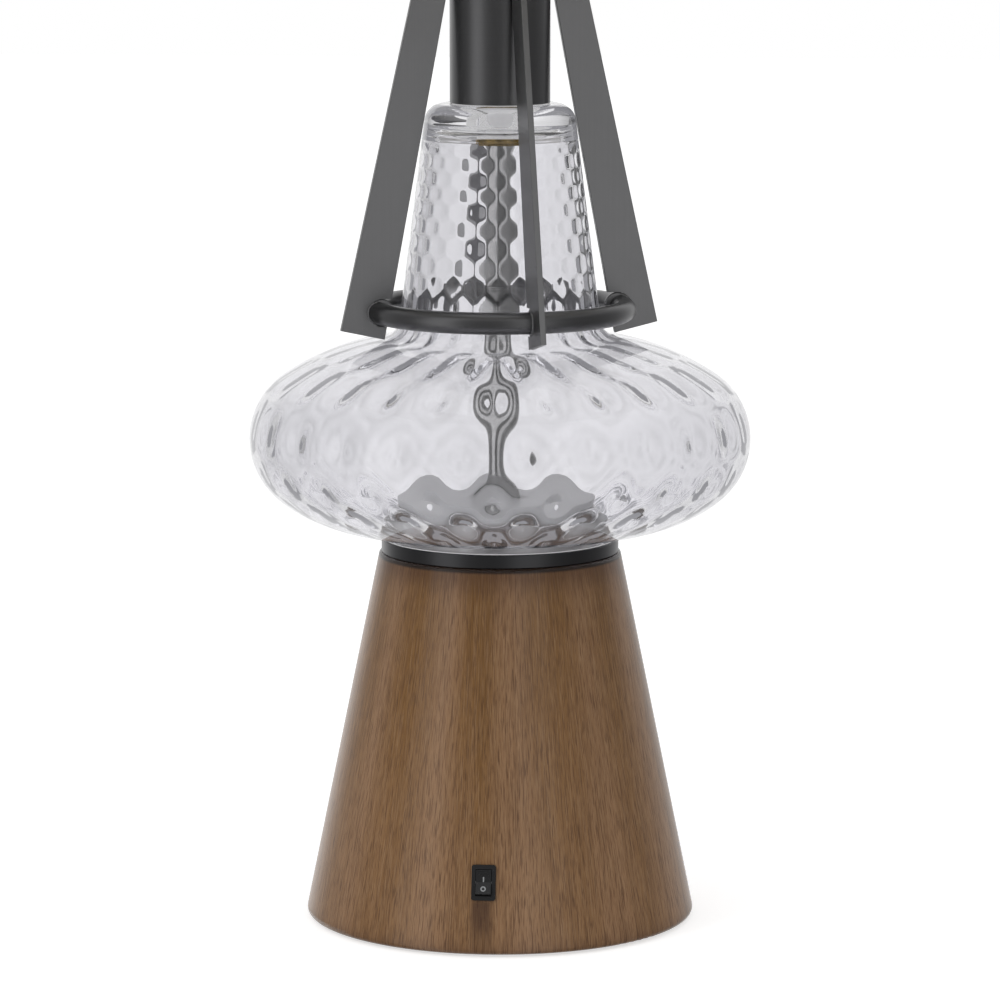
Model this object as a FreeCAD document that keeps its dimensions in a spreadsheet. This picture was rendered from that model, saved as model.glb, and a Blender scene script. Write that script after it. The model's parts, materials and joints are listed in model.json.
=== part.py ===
import FreeCAD, Part
import math
import operator
import os
import Sketcher

# Table lamp: a turned wood cone carries a blown glass bottle, a metal neck with a
# four-bar cage round it, and a shade on a harp. +Z is up, the origin is the middle of
# the underside on the table, and the switch faces -Y. All sizes are in millimetres.

SIZES = {
    # wood base, a hollowed cone on a recessed plate
    "foot_height": 2.2, "plate_recess": 1.2, "wood_foot_radius": 85.1, "wood_top_radius": 52.4,
    "wood_height": 160.3, "wood_foot_round": 2.5, "wood_top_round": 1.5,
    "foot_lip": 11.1, "plate_thickness": 2.0, "plate_shelf": 10.0, "cavity_height": 57.0,
    "rod_hole_radius": 6.0, "plate_gap": 0.4,
    "screw_inset": 5.0, "screw_radius": 1.75, "screw_length": 12.0, "screw_head_radius": 3.5,
    "screw_head_height": 1.8, "screw_gap": 0.05, "foot_inset": 22.0, "foot_radius": 7.0,
    # ballast, rod and its nut
    "ballast_gap": 7.0, "ballast_thickness": 18.0, "rod_radius": 5.0, "rod_bore_radius": 3.5,
    "rod_gap": 0.1, "washer_radius": 13.0, "washer_thickness": 2.0, "nut_corner_radius": 9.2,
    "nut_height": 5.0, "rod_tail": 5.0, "rod_grip": 7.0,
    # lead inlet at the back
    "inlet_height": 17.0, "inlet_bore_radius": 3.3, "inlet_body_radius": 5.2, "inlet_flange_radius": 7.4,
    "inlet_flange_thickness": 1.6, "inlet_seat_depth": 2.6, "inlet_tail": 2.0, "inlet_gap": 0.1,
    # rocker switch
    "switch_height": 31.4, "bezel_width": 10.2, "bezel_height": 15.0, "bezel_thickness": 1.5,
    "bezel_sink": 0.3, "bezel_corner": 1.0, "bezel_edge": 0.35, "switch_width": 8.6,
    "switch_length": 13.0, "switch_depth": 13.5, "well_width": 6.9, "well_length": 11.4,
    "well_depth": 7.2, "switch_gap": 0.15, "pocket_width": 20.0, "pocket_length": 24.0,
    "pocket_wall": 4.0, "rocker_width": 6.5, "rocker_reach": 5.5, "rocker_half_length": 5.2,
    "rocker_crown": 1.2, "rocker_keel": 3.3, "rocker_angle": 10.0, "pivot_depth": 1.0,
    "pin_radius": 0.8, "pin_gap": 0.05, "blade_width": 2.8, "blade_thickness": 0.6,
    "blade_length": 6.0, "blade_spacing": 7.0,
    # lead from the switch up the rod
    "lead_radius": 2.0, "lead_floor": 9.5, "lead_bend": 15.0, "lead_start_bend": 14.0,
    # collar, seat disc and the seals of the glass
    "collar_radius": 51.5, "collar_thickness": 6.0, "collar_edge": 0.4, "seal_thickness": 0.4,
    "disc_thickness": 6.0, "disc_gap": 0.3, "top_seal_radius": 10.0, "top_seal_thickness": 1.2,
    "neck_seal_radius": 19.0, "neck_seal_thickness": 0.4,
    # blown glass bottle
    "glass_foot_radius": 51.2, "glass_foot_round": 3.0, "globe_radius": 108.6,
    "globe_lift": 42.9, "globe_side_round": 32.3, "globe_upper_round": 109.0,
    "globe_upper_turn": 56.4, "globe_lower_round": 62.0, "globe_lower_turn": 51.6,
    "glass_wall": 4.2, "neck_round": 8.4, "neck_low_radius": 41.2, "neck_rise": 69.4,
    "neck_length": 75.4, "neck_taper": 0.1263, "shoulder_round": 8.2, "glass_crown": 10.6,
    "glass_hole_radius": 7.0, "neck_inner_round": 5.0,
    # stem inside the glass
    "stem_radius": 6.5, "stem_bore_radius": 5.4, "stem_nut_corner": 9.2, "stem_nut_height": 4.0,
    "stem_washer_radius": 10.5, "stem_washer_thickness": 1.6,
    # neck tube and cage
    "tube_radius": 21.6, "tube_wall": 1.5, "tube_length": 90.0, "bar_thickness": 2.6,
    "bar_foot_inner_radius": 51.5, "bar_foot_inner_drop": 11.6, "bar_foot_outer_radius": 70.7,
    "bar_foot_outer_drop": 7.3, "bar_weld_rise": 58.0, "bar_top_rise": 82.2,
    "bar_top_radius": 30.8, "bar_edge": 0.3, "cage_angle": 20.0, "ring_radius": 54.0,
    "ring_wire_radius": 4.7, "ring_drop": 13.5, "slot_radius": 6.0, "weld_gap": 0.05,
    # neck cap and harp
    "cap_radius": 22.2, "cap_thickness": 3.0, "cap_plug_depth": 6.0, "cap_gap": 0.2,
    "saddle_thickness": 1.5, "saddle_width": 12.0, "saddle_reach": 24.5, "saddle_post_height": 12.0,
    "harp_wire_radius": 2.3, "harp_leg": 12.0, "harp_spread": 42.0, "harp_shoulder_height": 40.0,
    "harp_height": 196.0, "harp_bow_round": 30.0, "harp_knee_round": 14.0, "harp_crown_width": 22.0,
    "harp_crown_drop": 46.0, "ferrule_radius": 3.9, "ferrule_length": 17.0, "ferrule_gap": 0.1,
    "stud_seat_radius": 8.0, "stud_seat_thickness": 2.5, "stud_radius": 3.1, "stud_length": 11.0,
    # lamp socket and bulb
    "socket_radius": 17.0, "socket_hub_radius": 8.5, "socket_cap_height": 16.0,
    "socket_flare": 9.0, "socket_wall": 0.9, "shell_start": 11.0, "shell_top": 51.0,
    "shell_radius": 15.9, "core_start": 12.0, "core_height": 12.0, "core_radius": 14.8,
    "thread_radius": 13.4, "thread_wall": 0.6, "thread_height": 24.0, "contact_radius": 3.5,
    "contact_height": 1.5, "bulb_cap_radius": 13.3, "bulb_cap_height": 22.0,
    "bulb_tip_radius": 4.5, "bulb_tip_height": 2.0, "bulb_cone_height": 2.8,
    "bulb_radius": 30.0, "bulb_centre": 106.0, "bulb_neck_radius": 13.2, "bulb_wall": 1.0,
    "bulb_neck_round": 45.0,
    # shade and finial
    "shade_bottom_radius": 190.0, "shade_top_radius": 165.0, "shade_drop": 20.3,
    "shade_height": 238.0, "shade_wall": 1.4, "shade_wire_radius": 1.8, "shade_wire_gap": 0.1,
    "spider_hub_radius": 11.0, "spider_hub_thickness": 2.0, "spider_hole_radius": 3.18,
    "spider_arm_radius": 1.7, "finial_seat_radius": 6.5, "finial_seat_height": 3.0,
    "finial_waist_radius": 3.9, "finial_waist_height": 6.5, "finial_ball_radius": 8.5,
    "finial_height": 23.0, "finial_bore_radius": 3.15, "finial_bore_depth": 10.5,
}

doc = FreeCAD.newDocument("LanternLamp")
sheet = doc.addObject("Spreadsheet::Sheet", "Sizes")
for row, (word, number) in enumerate(SIZES.items(), start=1):
    sheet.set("A%d" % row, word)
    sheet.set("B%d" % row, str(number))
    sheet.setAlias("B%d" % row, word)
doc.recompute()

MATHS = {"+": operator.add, "-": operator.sub, "*": operator.mul, "/": operator.truediv}


class Size:
    """A number together with the cells of the sheet that it is worked out from."""

    def __init__(self, text, value):
        self.text = text
        self.value = float(value)

    def combine(self, sign, other, swapped=False):
        other = as_size(other)
        first, second = (other, self) if swapped else (self, other)
        text = "(%s %s %s)" % (first.text, sign, second.text)
        return Size(text, MATHS[sign](first.value, second.value))

    def __add__(self, other):
        return self.combine("+", other)

    def __radd__(self, other):
        return self.combine("+", other, True)

    def __sub__(self, other):
        return self.combine("-", other)

    def __rsub__(self, other):
        return self.combine("-", other, True)

    def __mul__(self, other):
        return self.combine("*", other)

    def __rmul__(self, other):
        return self.combine("*", other, True)

    def __truediv__(self, other):
        return self.combine("/", other)

    def __neg__(self):
        return Size("(0 - %s)" % self.text, -self.value)


def as_size(number):
    return number if isinstance(number, Size) else Size(repr(float(number)), number)


class Cells:
    """Every cell of the sheet as a Size, by its alias."""

    def __getattr__(self, word):
        return Size("Sizes." + word, sheet.get(word))


cell = Cells()
ORIGIN = 0.0


def bind(thing, path, size):
    """Set one property of an object from the sheet."""
    thing.setExpression(path, as_size(size).text)


def plane_of(body, role):
    return next(item for item in body.Origin.OriginFeatures if item.Role == role)


def new_sketch(body, name, role="XZ_Plane", lift=ORIGIN):
    """A sketch on one of the body's own planes, moved along that plane's normal."""
    sketch = body.newObject("Sketcher::SketchObject", name)
    sketch.AttachmentSupport = (plane_of(body, role), [""])
    sketch.MapMode = "FlatFace"
    if isinstance(lift, Size):
        bind(sketch, "AttachmentOffset.Base.z", lift)
    return sketch


def pin_point(sketch, geometry, end, across, up):
    """Hold one end of a line or arc at a place given by the sheet."""
    for kind, size, axis in (("DistanceX", as_size(across), -2), ("DistanceY", as_size(up), -1)):
        if abs(size.value) < 1e-9:
            sketch.addConstraint(Sketcher.Constraint("PointOnObject", geometry, end, axis))
            continue
        index = sketch.addConstraint(
            Sketcher.Constraint(kind, -1, 1, geometry, end, size.value))
        sketch.setExpression("Constraints[%d]" % index, size.text)


def arc_between(start, finish, radius, left):
    """The short arc between two points, its centre on the left or right of the way."""
    chord = finish - start
    half = chord.Length / 2
    rise = math.sqrt(max(radius * radius - half * half, 0.0))
    normal = FreeCAD.Vector(-chord.y, chord.x, 0).normalize()
    centre = (start + finish) * 0.5 + normal * (rise if left else -rise)
    circle = Part.Circle(centre, FreeCAD.Vector(0, 0, 1), radius)
    first, last = (start, finish) if left else (finish, start)
    begin = math.atan2(first.y - centre.y, first.x - centre.x)
    end = math.atan2(last.y - centre.y, last.x - centre.x)
    return Part.ArcOfCircle(circle, begin, end)


def draw(sketch, corners, arcs=None):
    """A closed outline through the corners. arcs gives (radius, centre on the left) for
    the stretch that starts at a corner."""
    arcs = arcs or {}
    points = [FreeCAD.Vector(as_size(a).value, as_size(b).value, 0) for a, b in corners]
    count = len(points)
    starts, ends, first = [], [], sketch.GeometryCount
    for i, start in enumerate(points):
        finish = points[(i + 1) % count]
        if i in arcs:
            radius, left = arcs[i]
            sketch.addGeometry(arc_between(start, finish, as_size(radius).value, left))
            starts.append(1 if left else 2)
            ends.append(2 if left else 1)
        else:
            sketch.addGeometry(Part.LineSegment(start, finish))
            starts.append(1)
            ends.append(2)
    for i in range(count):
        after = (i + 1) % count
        sketch.addConstraint(Sketcher.Constraint(
            "Coincident", first + i, ends[i], first + after, starts[after]))
    for i, (across, up) in enumerate(corners):
        pin_point(sketch, first + i, starts[i], across, up)
    for i, (radius, _) in arcs.items():
        size = as_size(radius)
        index = sketch.addConstraint(Sketcher.Constraint("Radius", first + i, size.value))
        sketch.setExpression("Constraints[%d]" % index, size.text)


def draw_circle(sketch, radius, across=ORIGIN, up=ORIGIN):
    radius, across, up = as_size(radius), as_size(across), as_size(up)
    centre = FreeCAD.Vector(across.value, up.value, 0)
    index = sketch.addGeometry(Part.Circle(centre, FreeCAD.Vector(0, 0, 1), radius.value))
    pin_point(sketch, index, 3, across, up)
    row = sketch.addConstraint(Sketcher.Constraint("Radius", index, radius.value))
    sketch.setExpression("Constraints[%d]" % row, radius.text)


def new_body(name):
    body = doc.addObject("PartDesign::Body", name)
    body.Label = name
    body.AllowCompound = True
    return body


def turned(name, corners, arcs=None):
    """A piece turned about the lamp's axis from an outline of (radius, height)."""
    body = new_body(name)
    sketch = new_sketch(body, name + "_outline")
    draw(sketch, corners, arcs)
    turn = body.newObject("PartDesign::Revolution", name + "_turn")
    turn.Profile = sketch
    turn.ReferenceAxis = (sketch, ["V_Axis"])
    turn.Angle = 360
    body.Tip = turn
    return body


def tube(name, inner, outer, low, high):
    return turned(name, [(inner, low), (outer, low), (outer, high), (inner, high)])


def disc(name, outer, low, high):
    return turned(name, [(ORIGIN, low), (outer, low), (outer, high), (ORIGIN, high)])


def pad(body, sketch, length, middle=False, backwards=False):
    feature = body.newObject("PartDesign::Pad", sketch.Name + "_pad")
    feature.Profile = sketch
    bind(feature, "Length", length)
    if middle:
        feature.SideType = "Symmetric"
    feature.Reversed = backwards
    body.Tip = feature
    return feature


def pocket(body, sketch, length=None, backwards=False, middle=False):
    feature = body.newObject("PartDesign::Pocket", sketch.Name + "_cut")
    feature.Profile = sketch
    if length is None:
        feature.Type = "ThroughAll"
    else:
        bind(feature, "Length", length)
    if middle:
        feature.SideType = "Symmetric"
    feature.Reversed = backwards
    body.Tip = feature
    return feature


def repeat(body, features, count, sketch):
    """Copies of the features, spread evenly about the lamp's axis."""
    pattern = body.newObject("PartDesign::PolarPattern", features[0].Name + "_round")
    pattern.Originals = features
    pattern.Axis = (sketch, ["N_Axis"])
    pattern.Angle = 360
    pattern.Occurrences = count
    body.Tip = pattern


def round_rims(body, rims, name):
    """Fillet the circular edges at the given (radius, height)."""
    doc.recompute()
    for number, (radius, height, size) in enumerate(rims):
        base = body.Tip
        found = []
        for index, edge in enumerate(base.Shape.Edges, start=1):
            curve = edge.Curve
            if not isinstance(curve, Part.Circle):
                continue
            same = abs(curve.Radius - as_size(radius).value) < 0.01
            if same and abs(edge.CenterOfMass.z - as_size(height).value) < 0.01:
                found.append("Edge%d" % index)
        fillet = body.newObject("PartDesign::Fillet", "%s_round_%d" % (name, number))
        fillet.Base = (base, found)
        bind(fillet, "Radius", size)
        body.Tip = fillet
        doc.recompute()


def primitive(kind, name, **sizes):
    thing = doc.addObject("Part::" + kind, name)
    for word, size in sizes.items():
        if word == "Polygon":
            thing.Polygon = size
        else:
            bind(thing, word, size)
    return thing


def place(thing, across=ORIGIN, back=ORIGIN, up=ORIGIN, axis=None, angle=ORIGIN):
    """Put a piece at its place, turned about one axis."""
    if axis is not None:
        thing.Placement.Rotation = FreeCAD.Rotation(FreeCAD.Vector(*axis), 1.0)
        bind(thing, "Placement.Rotation.Angle", angle)
    for letter, size in (("x", across), ("y", back), ("z", up)):
        bind(thing, "Placement.Base." + letter, size)


def combined(kind, name, pieces):
    """A cut of the first piece by the others, or a fusion or group of them all."""
    if kind == "Cut":
        tool = pieces[1]
        if len(pieces) > 2:
            tool = doc.addObject("Part::MultiFuse", name + "_tools")
            tool.Shapes = pieces[1:]
        result = doc.addObject("Part::Cut", name)
        result.Base = pieces[0]
        result.Tool = tool
    elif kind == "Fuse":
        result = doc.addObject("Part::MultiFuse", name)
        result.Shapes = pieces
    else:
        result = doc.addObject("Part::Compound", name)
        result.Links = pieces
    result.Label = name
    return result


def bent_wire(name, role, route, start_role, start_lift, radius):
    """A round wire bent along straight runs and tangent arcs. route is a list of
    (across, up, bend radius) corners in the plane of the given role."""
    body = new_body(name)
    path = new_sketch(body, name + "_route", role)
    points = [FreeCAD.Vector(a, b, 0) for a, b, _ in route]
    start = points[0]
    for i in range(1, len(points) - 1):
        come = (points[i] - points[i - 1]).normalize()
        leave = (points[i + 1] - points[i]).normalize()
        turn = come.getAngle(leave)
        reach = route[i][2] * math.tan(turn / 2)
        enter = points[i] - come * reach
        depart = points[i] + leave * reach
        path.addGeometry(Part.LineSegment(start, enter))
        path.addGeometry(arc_between(enter, depart, route[i][2], come.cross(leave).z > 0))
        start = depart
    path.addGeometry(Part.LineSegment(start, points[-1]))
    for i in range(path.GeometryCount):
        path.addConstraint(Sketcher.Constraint("Block", i))
    section = new_sketch(body, name + "_section", start_role, start_lift)
    across = points[0].x if start_role == "XY_Plane" else ORIGIN
    up = ORIGIN if start_role == "XY_Plane" else points[0].y
    draw_circle(section, radius, across, up)
    pipe = body.newObject("PartDesign::AdditivePipe", name + "_bend")
    pipe.Profile = section
    pipe.Spine = path
    body.Tip = pipe
    return body


# ---------------------------------------------------------------- heights up the lamp
wood_low = cell.foot_height - cell.plate_recess + ORIGIN
rabbet_radius = cell.wood_foot_radius - cell.foot_lip
cavity_radius = rabbet_radius - cell.plate_shelf
screw_circle = rabbet_radius - cell.screw_inset
foot_circle = rabbet_radius - cell.foot_inset
ballast_radius = cavity_radius - cell.ballast_gap
plate_low = cell.foot_height
plate_high = plate_low + cell.plate_thickness
wood_high = wood_low + cell.wood_height
ceiling = wood_low + cell.cavity_height
collar_high = wood_high + cell.collar_thickness
glass_low = collar_high + cell.seal_thickness
disc_high = collar_high + cell.disc_thickness
globe_up = glass_low + cell.globe_lift
neck_low = globe_up + cell.neck_rise
glass_top = neck_low + cell.neck_length
ring_up = neck_low - cell.ring_drop
crown_low = glass_top - cell.glass_crown
seal_low = crown_low - cell.top_seal_thickness
stem_washer_low = seal_low - cell.stem_washer_thickness
stem_nut_low = stem_washer_low - cell.stem_nut_height
tube_low = glass_top + cell.neck_seal_thickness
tube_high = tube_low + cell.tube_length
cap_high = tube_high + cell.cap_thickness
saddle_high = cap_high + cell.saddle_thickness
shell_high = saddle_high + cell.shell_top
thread_low = saddle_high + cell.core_start + cell.core_height
ballast_low = ceiling - cell.ballast_thickness
washer_low = ballast_low - cell.washer_thickness
nut_low = washer_low - cell.nut_height
rod_low = nut_low - cell.rod_tail
hole_radius = cell.rod_radius + cell.rod_gap
DIAGONAL = math.sqrt(0.5)


def wood_base():
    """The turned cone, bored for the rod, hollowed below and cut for switch and inlet."""
    body = turned("wood_blank", [
        (cell.wood_foot_radius, wood_low), (cell.wood_top_radius, wood_high),
        (cell.rod_hole_radius, wood_high), (cell.rod_hole_radius, ceiling),
        (cavity_radius, ceiling), (cavity_radius, plate_high),
        (rabbet_radius, plate_high), (rabbet_radius, wood_low)])
    sketch = new_sketch(body, "pilot_hole", "XY_Plane", plate_high)
    spot = screw_circle * DIAGONAL
    draw_circle(sketch, cell.screw_radius + cell.screw_gap, spot, spot)
    hole = pocket(body, sketch, cell.screw_length, backwards=True)
    repeat(body, [hole], 4, sketch)
    round_rims(body, [(cell.wood_foot_radius, wood_low, cell.wood_foot_round),
                      (cell.wood_top_radius, wood_high, cell.wood_top_round)], "wood")
    cuts = []
    for word, width, length, depth, start in (
            ("bezel_seat", cell.bezel_width + 2 * cell.switch_gap,
             cell.bezel_height + 2 * cell.switch_gap, cell.bezel_sink + 4.0, -4.0),
            ("switch_hole", cell.switch_width + 2 * cell.switch_gap,
             cell.switch_length + 2 * cell.switch_gap, cavity_radius / 2, ORIGIN),
            ("switch_pocket", cell.pocket_width, cell.pocket_length,
             cavity_radius / 2, cell.pocket_wall)):
        box = primitive("Box", word, Length=width, Width=depth, Height=length)
        seat_on_face(box, -width / 2, start, -length / 2)
        cuts.append(box)
    bore = primitive("Cylinder", "inlet_hole", Radius=cell.inlet_body_radius + cell.inlet_gap,
                     Height=cell.wood_foot_radius)
    seat = primitive("Cylinder", "inlet_seat", Radius=cell.inlet_flange_radius + cell.inlet_gap,
                     Height=cell.wood_foot_radius)
    place(bore, ORIGIN, cavity_radius / 2 + cell.wood_foot_radius, cell.inlet_height, (1, 0, 0), 90)
    place(seat, ORIGIN, inlet_seat_back() + cell.wood_foot_radius, cell.inlet_height, (1, 0, 0), 90)
    combined("Cut", "wood_base", [body] + cuts + [bore, seat])


def cone_radius(height):
    """Radius of the wood's outside at a height above the table."""
    share = (height - wood_low) / cell.wood_height
    return cell.wood_foot_radius - (cell.wood_foot_radius - cell.wood_top_radius) * share


def cone_tilt():
    """Lean of the cone's side from upright, in degrees."""
    lean = (cell.wood_foot_radius - cell.wood_top_radius) / cell.wood_height
    return Size("atan(%s)" % lean.text, math.degrees(math.atan(lean.value)))


def across_tilt(size, kind):
    tilt = cone_tilt()
    factor = math.cos if kind == "cos" else math.sin
    return size * Size("%s(%s)" % (kind, tilt.text), factor(math.radians(tilt.value)))


def seat_on_face(thing, across, inward, along):
    """Place a piece by its distance into the wood and along the sloping front face."""
    inward, along = as_size(inward), as_size(along)
    back = across_tilt(inward, "cos") + across_tilt(along, "sin") - cone_radius(cell.switch_height)
    up = cell.switch_height + across_tilt(along, "cos") - across_tilt(inward, "sin")
    place(thing, across, back, up, (-1, 0, 0), cone_tilt())


def inlet_seat_back():
    return cone_radius(cell.inlet_height) - cell.inlet_seat_depth


def base_fittings():
    """Plate, screws, feet, ballast, and the lead inlet at the back."""
    spot = screw_circle * DIAGONAL
    plate = disc("base_plate", rabbet_radius - cell.plate_gap, plate_low, plate_high)
    sketch = new_sketch(plate, "plate_hole", "XY_Plane", plate_low)
    draw_circle(sketch, cell.screw_radius + 2 * cell.screw_gap, spot, spot)
    repeat(plate, [pocket(plate, sketch, cell.plate_thickness, backwards=True)], 4, sketch)

    screws = new_body("base_plate_screws")
    sketch = new_sketch(screws, "screw_head", "XY_Plane", plate_low)
    draw_circle(sketch, cell.screw_head_radius, spot, spot)
    head = pad(screws, sketch, cell.screw_head_height, backwards=True)
    shank_sketch = new_sketch(screws, "screw_shank", "XY_Plane", plate_low)
    draw_circle(shank_sketch, cell.screw_radius, spot, spot)
    shank = pad(screws, shank_sketch, cell.screw_length)
    repeat(screws, [head, shank], 4, sketch)

    feet = new_body("rubber_feet")
    sketch = new_sketch(feet, "foot", "XY_Plane")
    spot = foot_circle * DIAGONAL
    draw_circle(sketch, cell.foot_radius, spot, spot)
    repeat(feet, [pad(feet, sketch, cell.foot_height)], 4, sketch)

    tube("ballast_weight", cell.rod_hole_radius, ballast_radius, ballast_low, ceiling)
    tube("rod_washer", hole_radius, cell.washer_radius, washer_low, ballast_low)
    hex_nut("rod_lock_nut", cell.nut_corner_radius, nut_low, cell.nut_height)

    seat = inlet_seat_back()
    flange = seat + cell.inlet_flange_thickness
    back = cavity_radius - cell.inlet_tail
    bushing = turned("cord_bushing", [
        (cell.inlet_bore_radius, back), (cell.inlet_body_radius, back),
        (cell.inlet_body_radius, seat), (cell.inlet_flange_radius, seat),
        (cell.inlet_flange_radius, flange), (cell.inlet_bore_radius, flange)])
    place(bushing, ORIGIN, ORIGIN, cell.inlet_height, (-1, 0, 0), 90)


def hex_nut(name, corner_radius, low, height):
    blank = primitive("Prism", name + "_blank", Polygon=6, Circumradius=corner_radius, Height=height)
    bore = primitive("Cylinder", name + "_bore", Radius=hole_radius, Height=height)
    place(blank, up=low)
    place(bore, up=low)
    combined("Cut", name, [blank, bore])


def switch():
    """A rocker switch seated square to the cone's front face."""
    outside = cell.bezel_thickness - cell.bezel_sink
    housing = new_body("switch_housing")
    rim = new_sketch(housing, "bezel", lift=-cell.bezel_sink)
    draw_box(rim, cell.bezel_width, cell.bezel_height)
    pad(housing, rim, cell.bezel_thickness)
    round_corners(housing, cell.bezel_corner)
    case = new_sketch(housing, "case", lift=-cell.bezel_sink)
    draw_box(case, cell.switch_width, cell.switch_length)
    pad(housing, case, cell.switch_depth, backwards=True)
    well = new_sketch(housing, "well", lift=outside)
    draw_box(well, cell.well_width, cell.well_length)
    pocket(housing, well, cell.well_depth)
    pivot = new_sketch(housing, "pivot_hole", "YZ_Plane")
    draw_circle(pivot, cell.pin_radius + cell.pin_gap, cell.pivot_depth - outside)
    pocket(housing, pivot, cell.switch_width * 2, middle=True)
    seat_on_face(housing, ORIGIN, ORIGIN, ORIGIN)

    inward = cell.pivot_depth - outside
    pin = new_body("rocker_pin")
    sketch = new_sketch(pin, "pin", "YZ_Plane")
    draw_circle(sketch, cell.pin_radius)
    pad(pin, sketch, cell.switch_width - 2 * cell.pin_gap, middle=True)
    seat_on_face(pin, ORIGIN, inward, ORIGIN)

    rocker = new_body("switch_rocker")
    side = new_sketch(rocker, "rocker_side", "YZ_Plane")
    half, reach = cell.rocker_half_length, cell.rocker_reach
    keel = Size("sqrt(%s)" % (reach * reach - cell.rocker_keel * cell.rocker_keel).text,
                math.sqrt(reach.value ** 2 - cell.rocker_keel.value ** 2))
    lip = Size("sqrt(%s)" % (reach * reach - half * half).text,
               math.sqrt(reach.value ** 2 - half.value ** 2))
    angle = cell.rocker_angle
    slope = Size("tan(%s)" % angle.text, math.tan(math.radians(angle.value)))
    corner = cell.rocker_crown + half * slope
    draw(side, [(-cell.rocker_crown, ORIGIN), (-corner, half), (-lip, half), (cell.rocker_keel, keel),
                (cell.rocker_keel, -keel), (-lip, -half), (-corner, -half)],
         {2: (reach, False), 4: (reach, False)})
    pad(rocker, side, cell.rocker_width, middle=True)
    bore = new_sketch(rocker, "rocker_bore", "YZ_Plane")
    draw_circle(bore, cell.pin_radius + cell.pin_gap)
    pocket(rocker, bore, cell.switch_width * 2, middle=True)
    seat_on_face(rocker, ORIGIN, inward, ORIGIN)
    bind(rocker, "Placement.Rotation.Angle", cone_tilt() + Size("%s * 1 deg" % angle.text, angle.value))

    blades = new_body("switch_terminals")
    sketch = new_sketch(blades, "blades", lift=-(cell.bezel_sink + cell.switch_depth))
    for side_sign in (-1, 1):
        draw_box(sketch, cell.blade_width, cell.blade_thickness, side_sign * cell.blade_spacing / 2)
    pad(blades, sketch, cell.blade_length, backwards=True)
    seat_on_face(blades, ORIGIN, ORIGIN, ORIGIN)


def draw_box(sketch, width, height, up=ORIGIN):
    half, tall = width / 2, height / 2
    draw(sketch, [(-half, up - tall), (half, up - tall), (half, up + tall), (-half, up + tall)])


def round_flats(body, away, size):
    """Fillet the edges round both flats of a plate that stands on edge."""
    doc.recompute()
    base = body.Tip
    edges = ["Edge%d" % index for index, edge in enumerate(base.Shape.Edges, start=1)
             if abs(abs(edge.CenterOfMass.y) - away.value) < 0.001]
    fillet = body.newObject("PartDesign::Fillet", body.Name + "_edges")
    fillet.Base = (base, edges)
    bind(fillet, "Radius", size)
    body.Tip = fillet
    doc.recompute()


def round_corners(body, size):
    """Fillet the four edges that run through the thickness of a plate."""
    doc.recompute()
    base = body.Tip
    edges = ["Edge%d" % index for index, edge in enumerate(base.Shape.Edges, start=1)
             if abs(edge.tangentAt(edge.FirstParameter).y) > 0.999]
    fillet = body.newObject("PartDesign::Fillet", body.Name + "_corners")
    fillet.Base = (base, edges)
    bind(fillet, "Radius", size)
    body.Tip = fillet
    doc.recompute()


def lamp_lead():
    """The twin lead inside: from the switch blades, under the nut and up the hollow rod."""
    tilt = math.radians(cone_tilt().value)
    depth = (cell.bezel_sink + cell.switch_depth + cell.blade_length).value
    start = -cone_radius(cell.switch_height).value + depth * math.cos(tilt)
    height = cell.switch_height.value - depth * math.sin(tilt)
    floor = cell.lead_floor.value
    first, last = cell.lead_start_bend.value, cell.lead_bend.value
    route = [(start, height, 0), (start + first, height, first),
             (-last * 1.6, floor, first), (ORIGIN, floor, last),
             (ORIGIN, (saddle_high + cell.core_start).value, 0)]
    bent_wire("lamp_lead", "YZ_Plane", route, "XZ_Plane", as_size(-start), cell.lead_radius)


def blend(centre, radius, line_radius, line_height, slope, fillet, side):
    """Where a small arc meets a larger one from outside and then a leaning line. The
    line has its radius at its height and grows by slope downwards. side is +1 above the
    arc's centre and -1 below. Returns both tangent points as (radius, height)."""
    length = math.hypot(1, slope)
    normal = (1 / length, slope / length)
    along = (-slope / length, 1 / length)
    from_x = line_radius + fillet * normal[0] - centre[0]
    from_y = line_height + fillet * normal[1] - centre[1]
    b = from_x * along[0] + from_y * along[1]
    c = from_x ** 2 + from_y ** 2 - (radius + fillet) ** 2
    t = -b + side * math.sqrt(b * b - c)
    middle = (centre[0] + from_x + t * along[0], centre[1] + from_y + t * along[1])
    share = radius / (radius + fillet)
    on_arc = tuple(centre[i] + (middle[i] - centre[i]) * share for i in (0, 1))
    on_line = tuple(middle[i] - fillet * normal[i] for i in (0, 1))
    return on_arc, on_line


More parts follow.
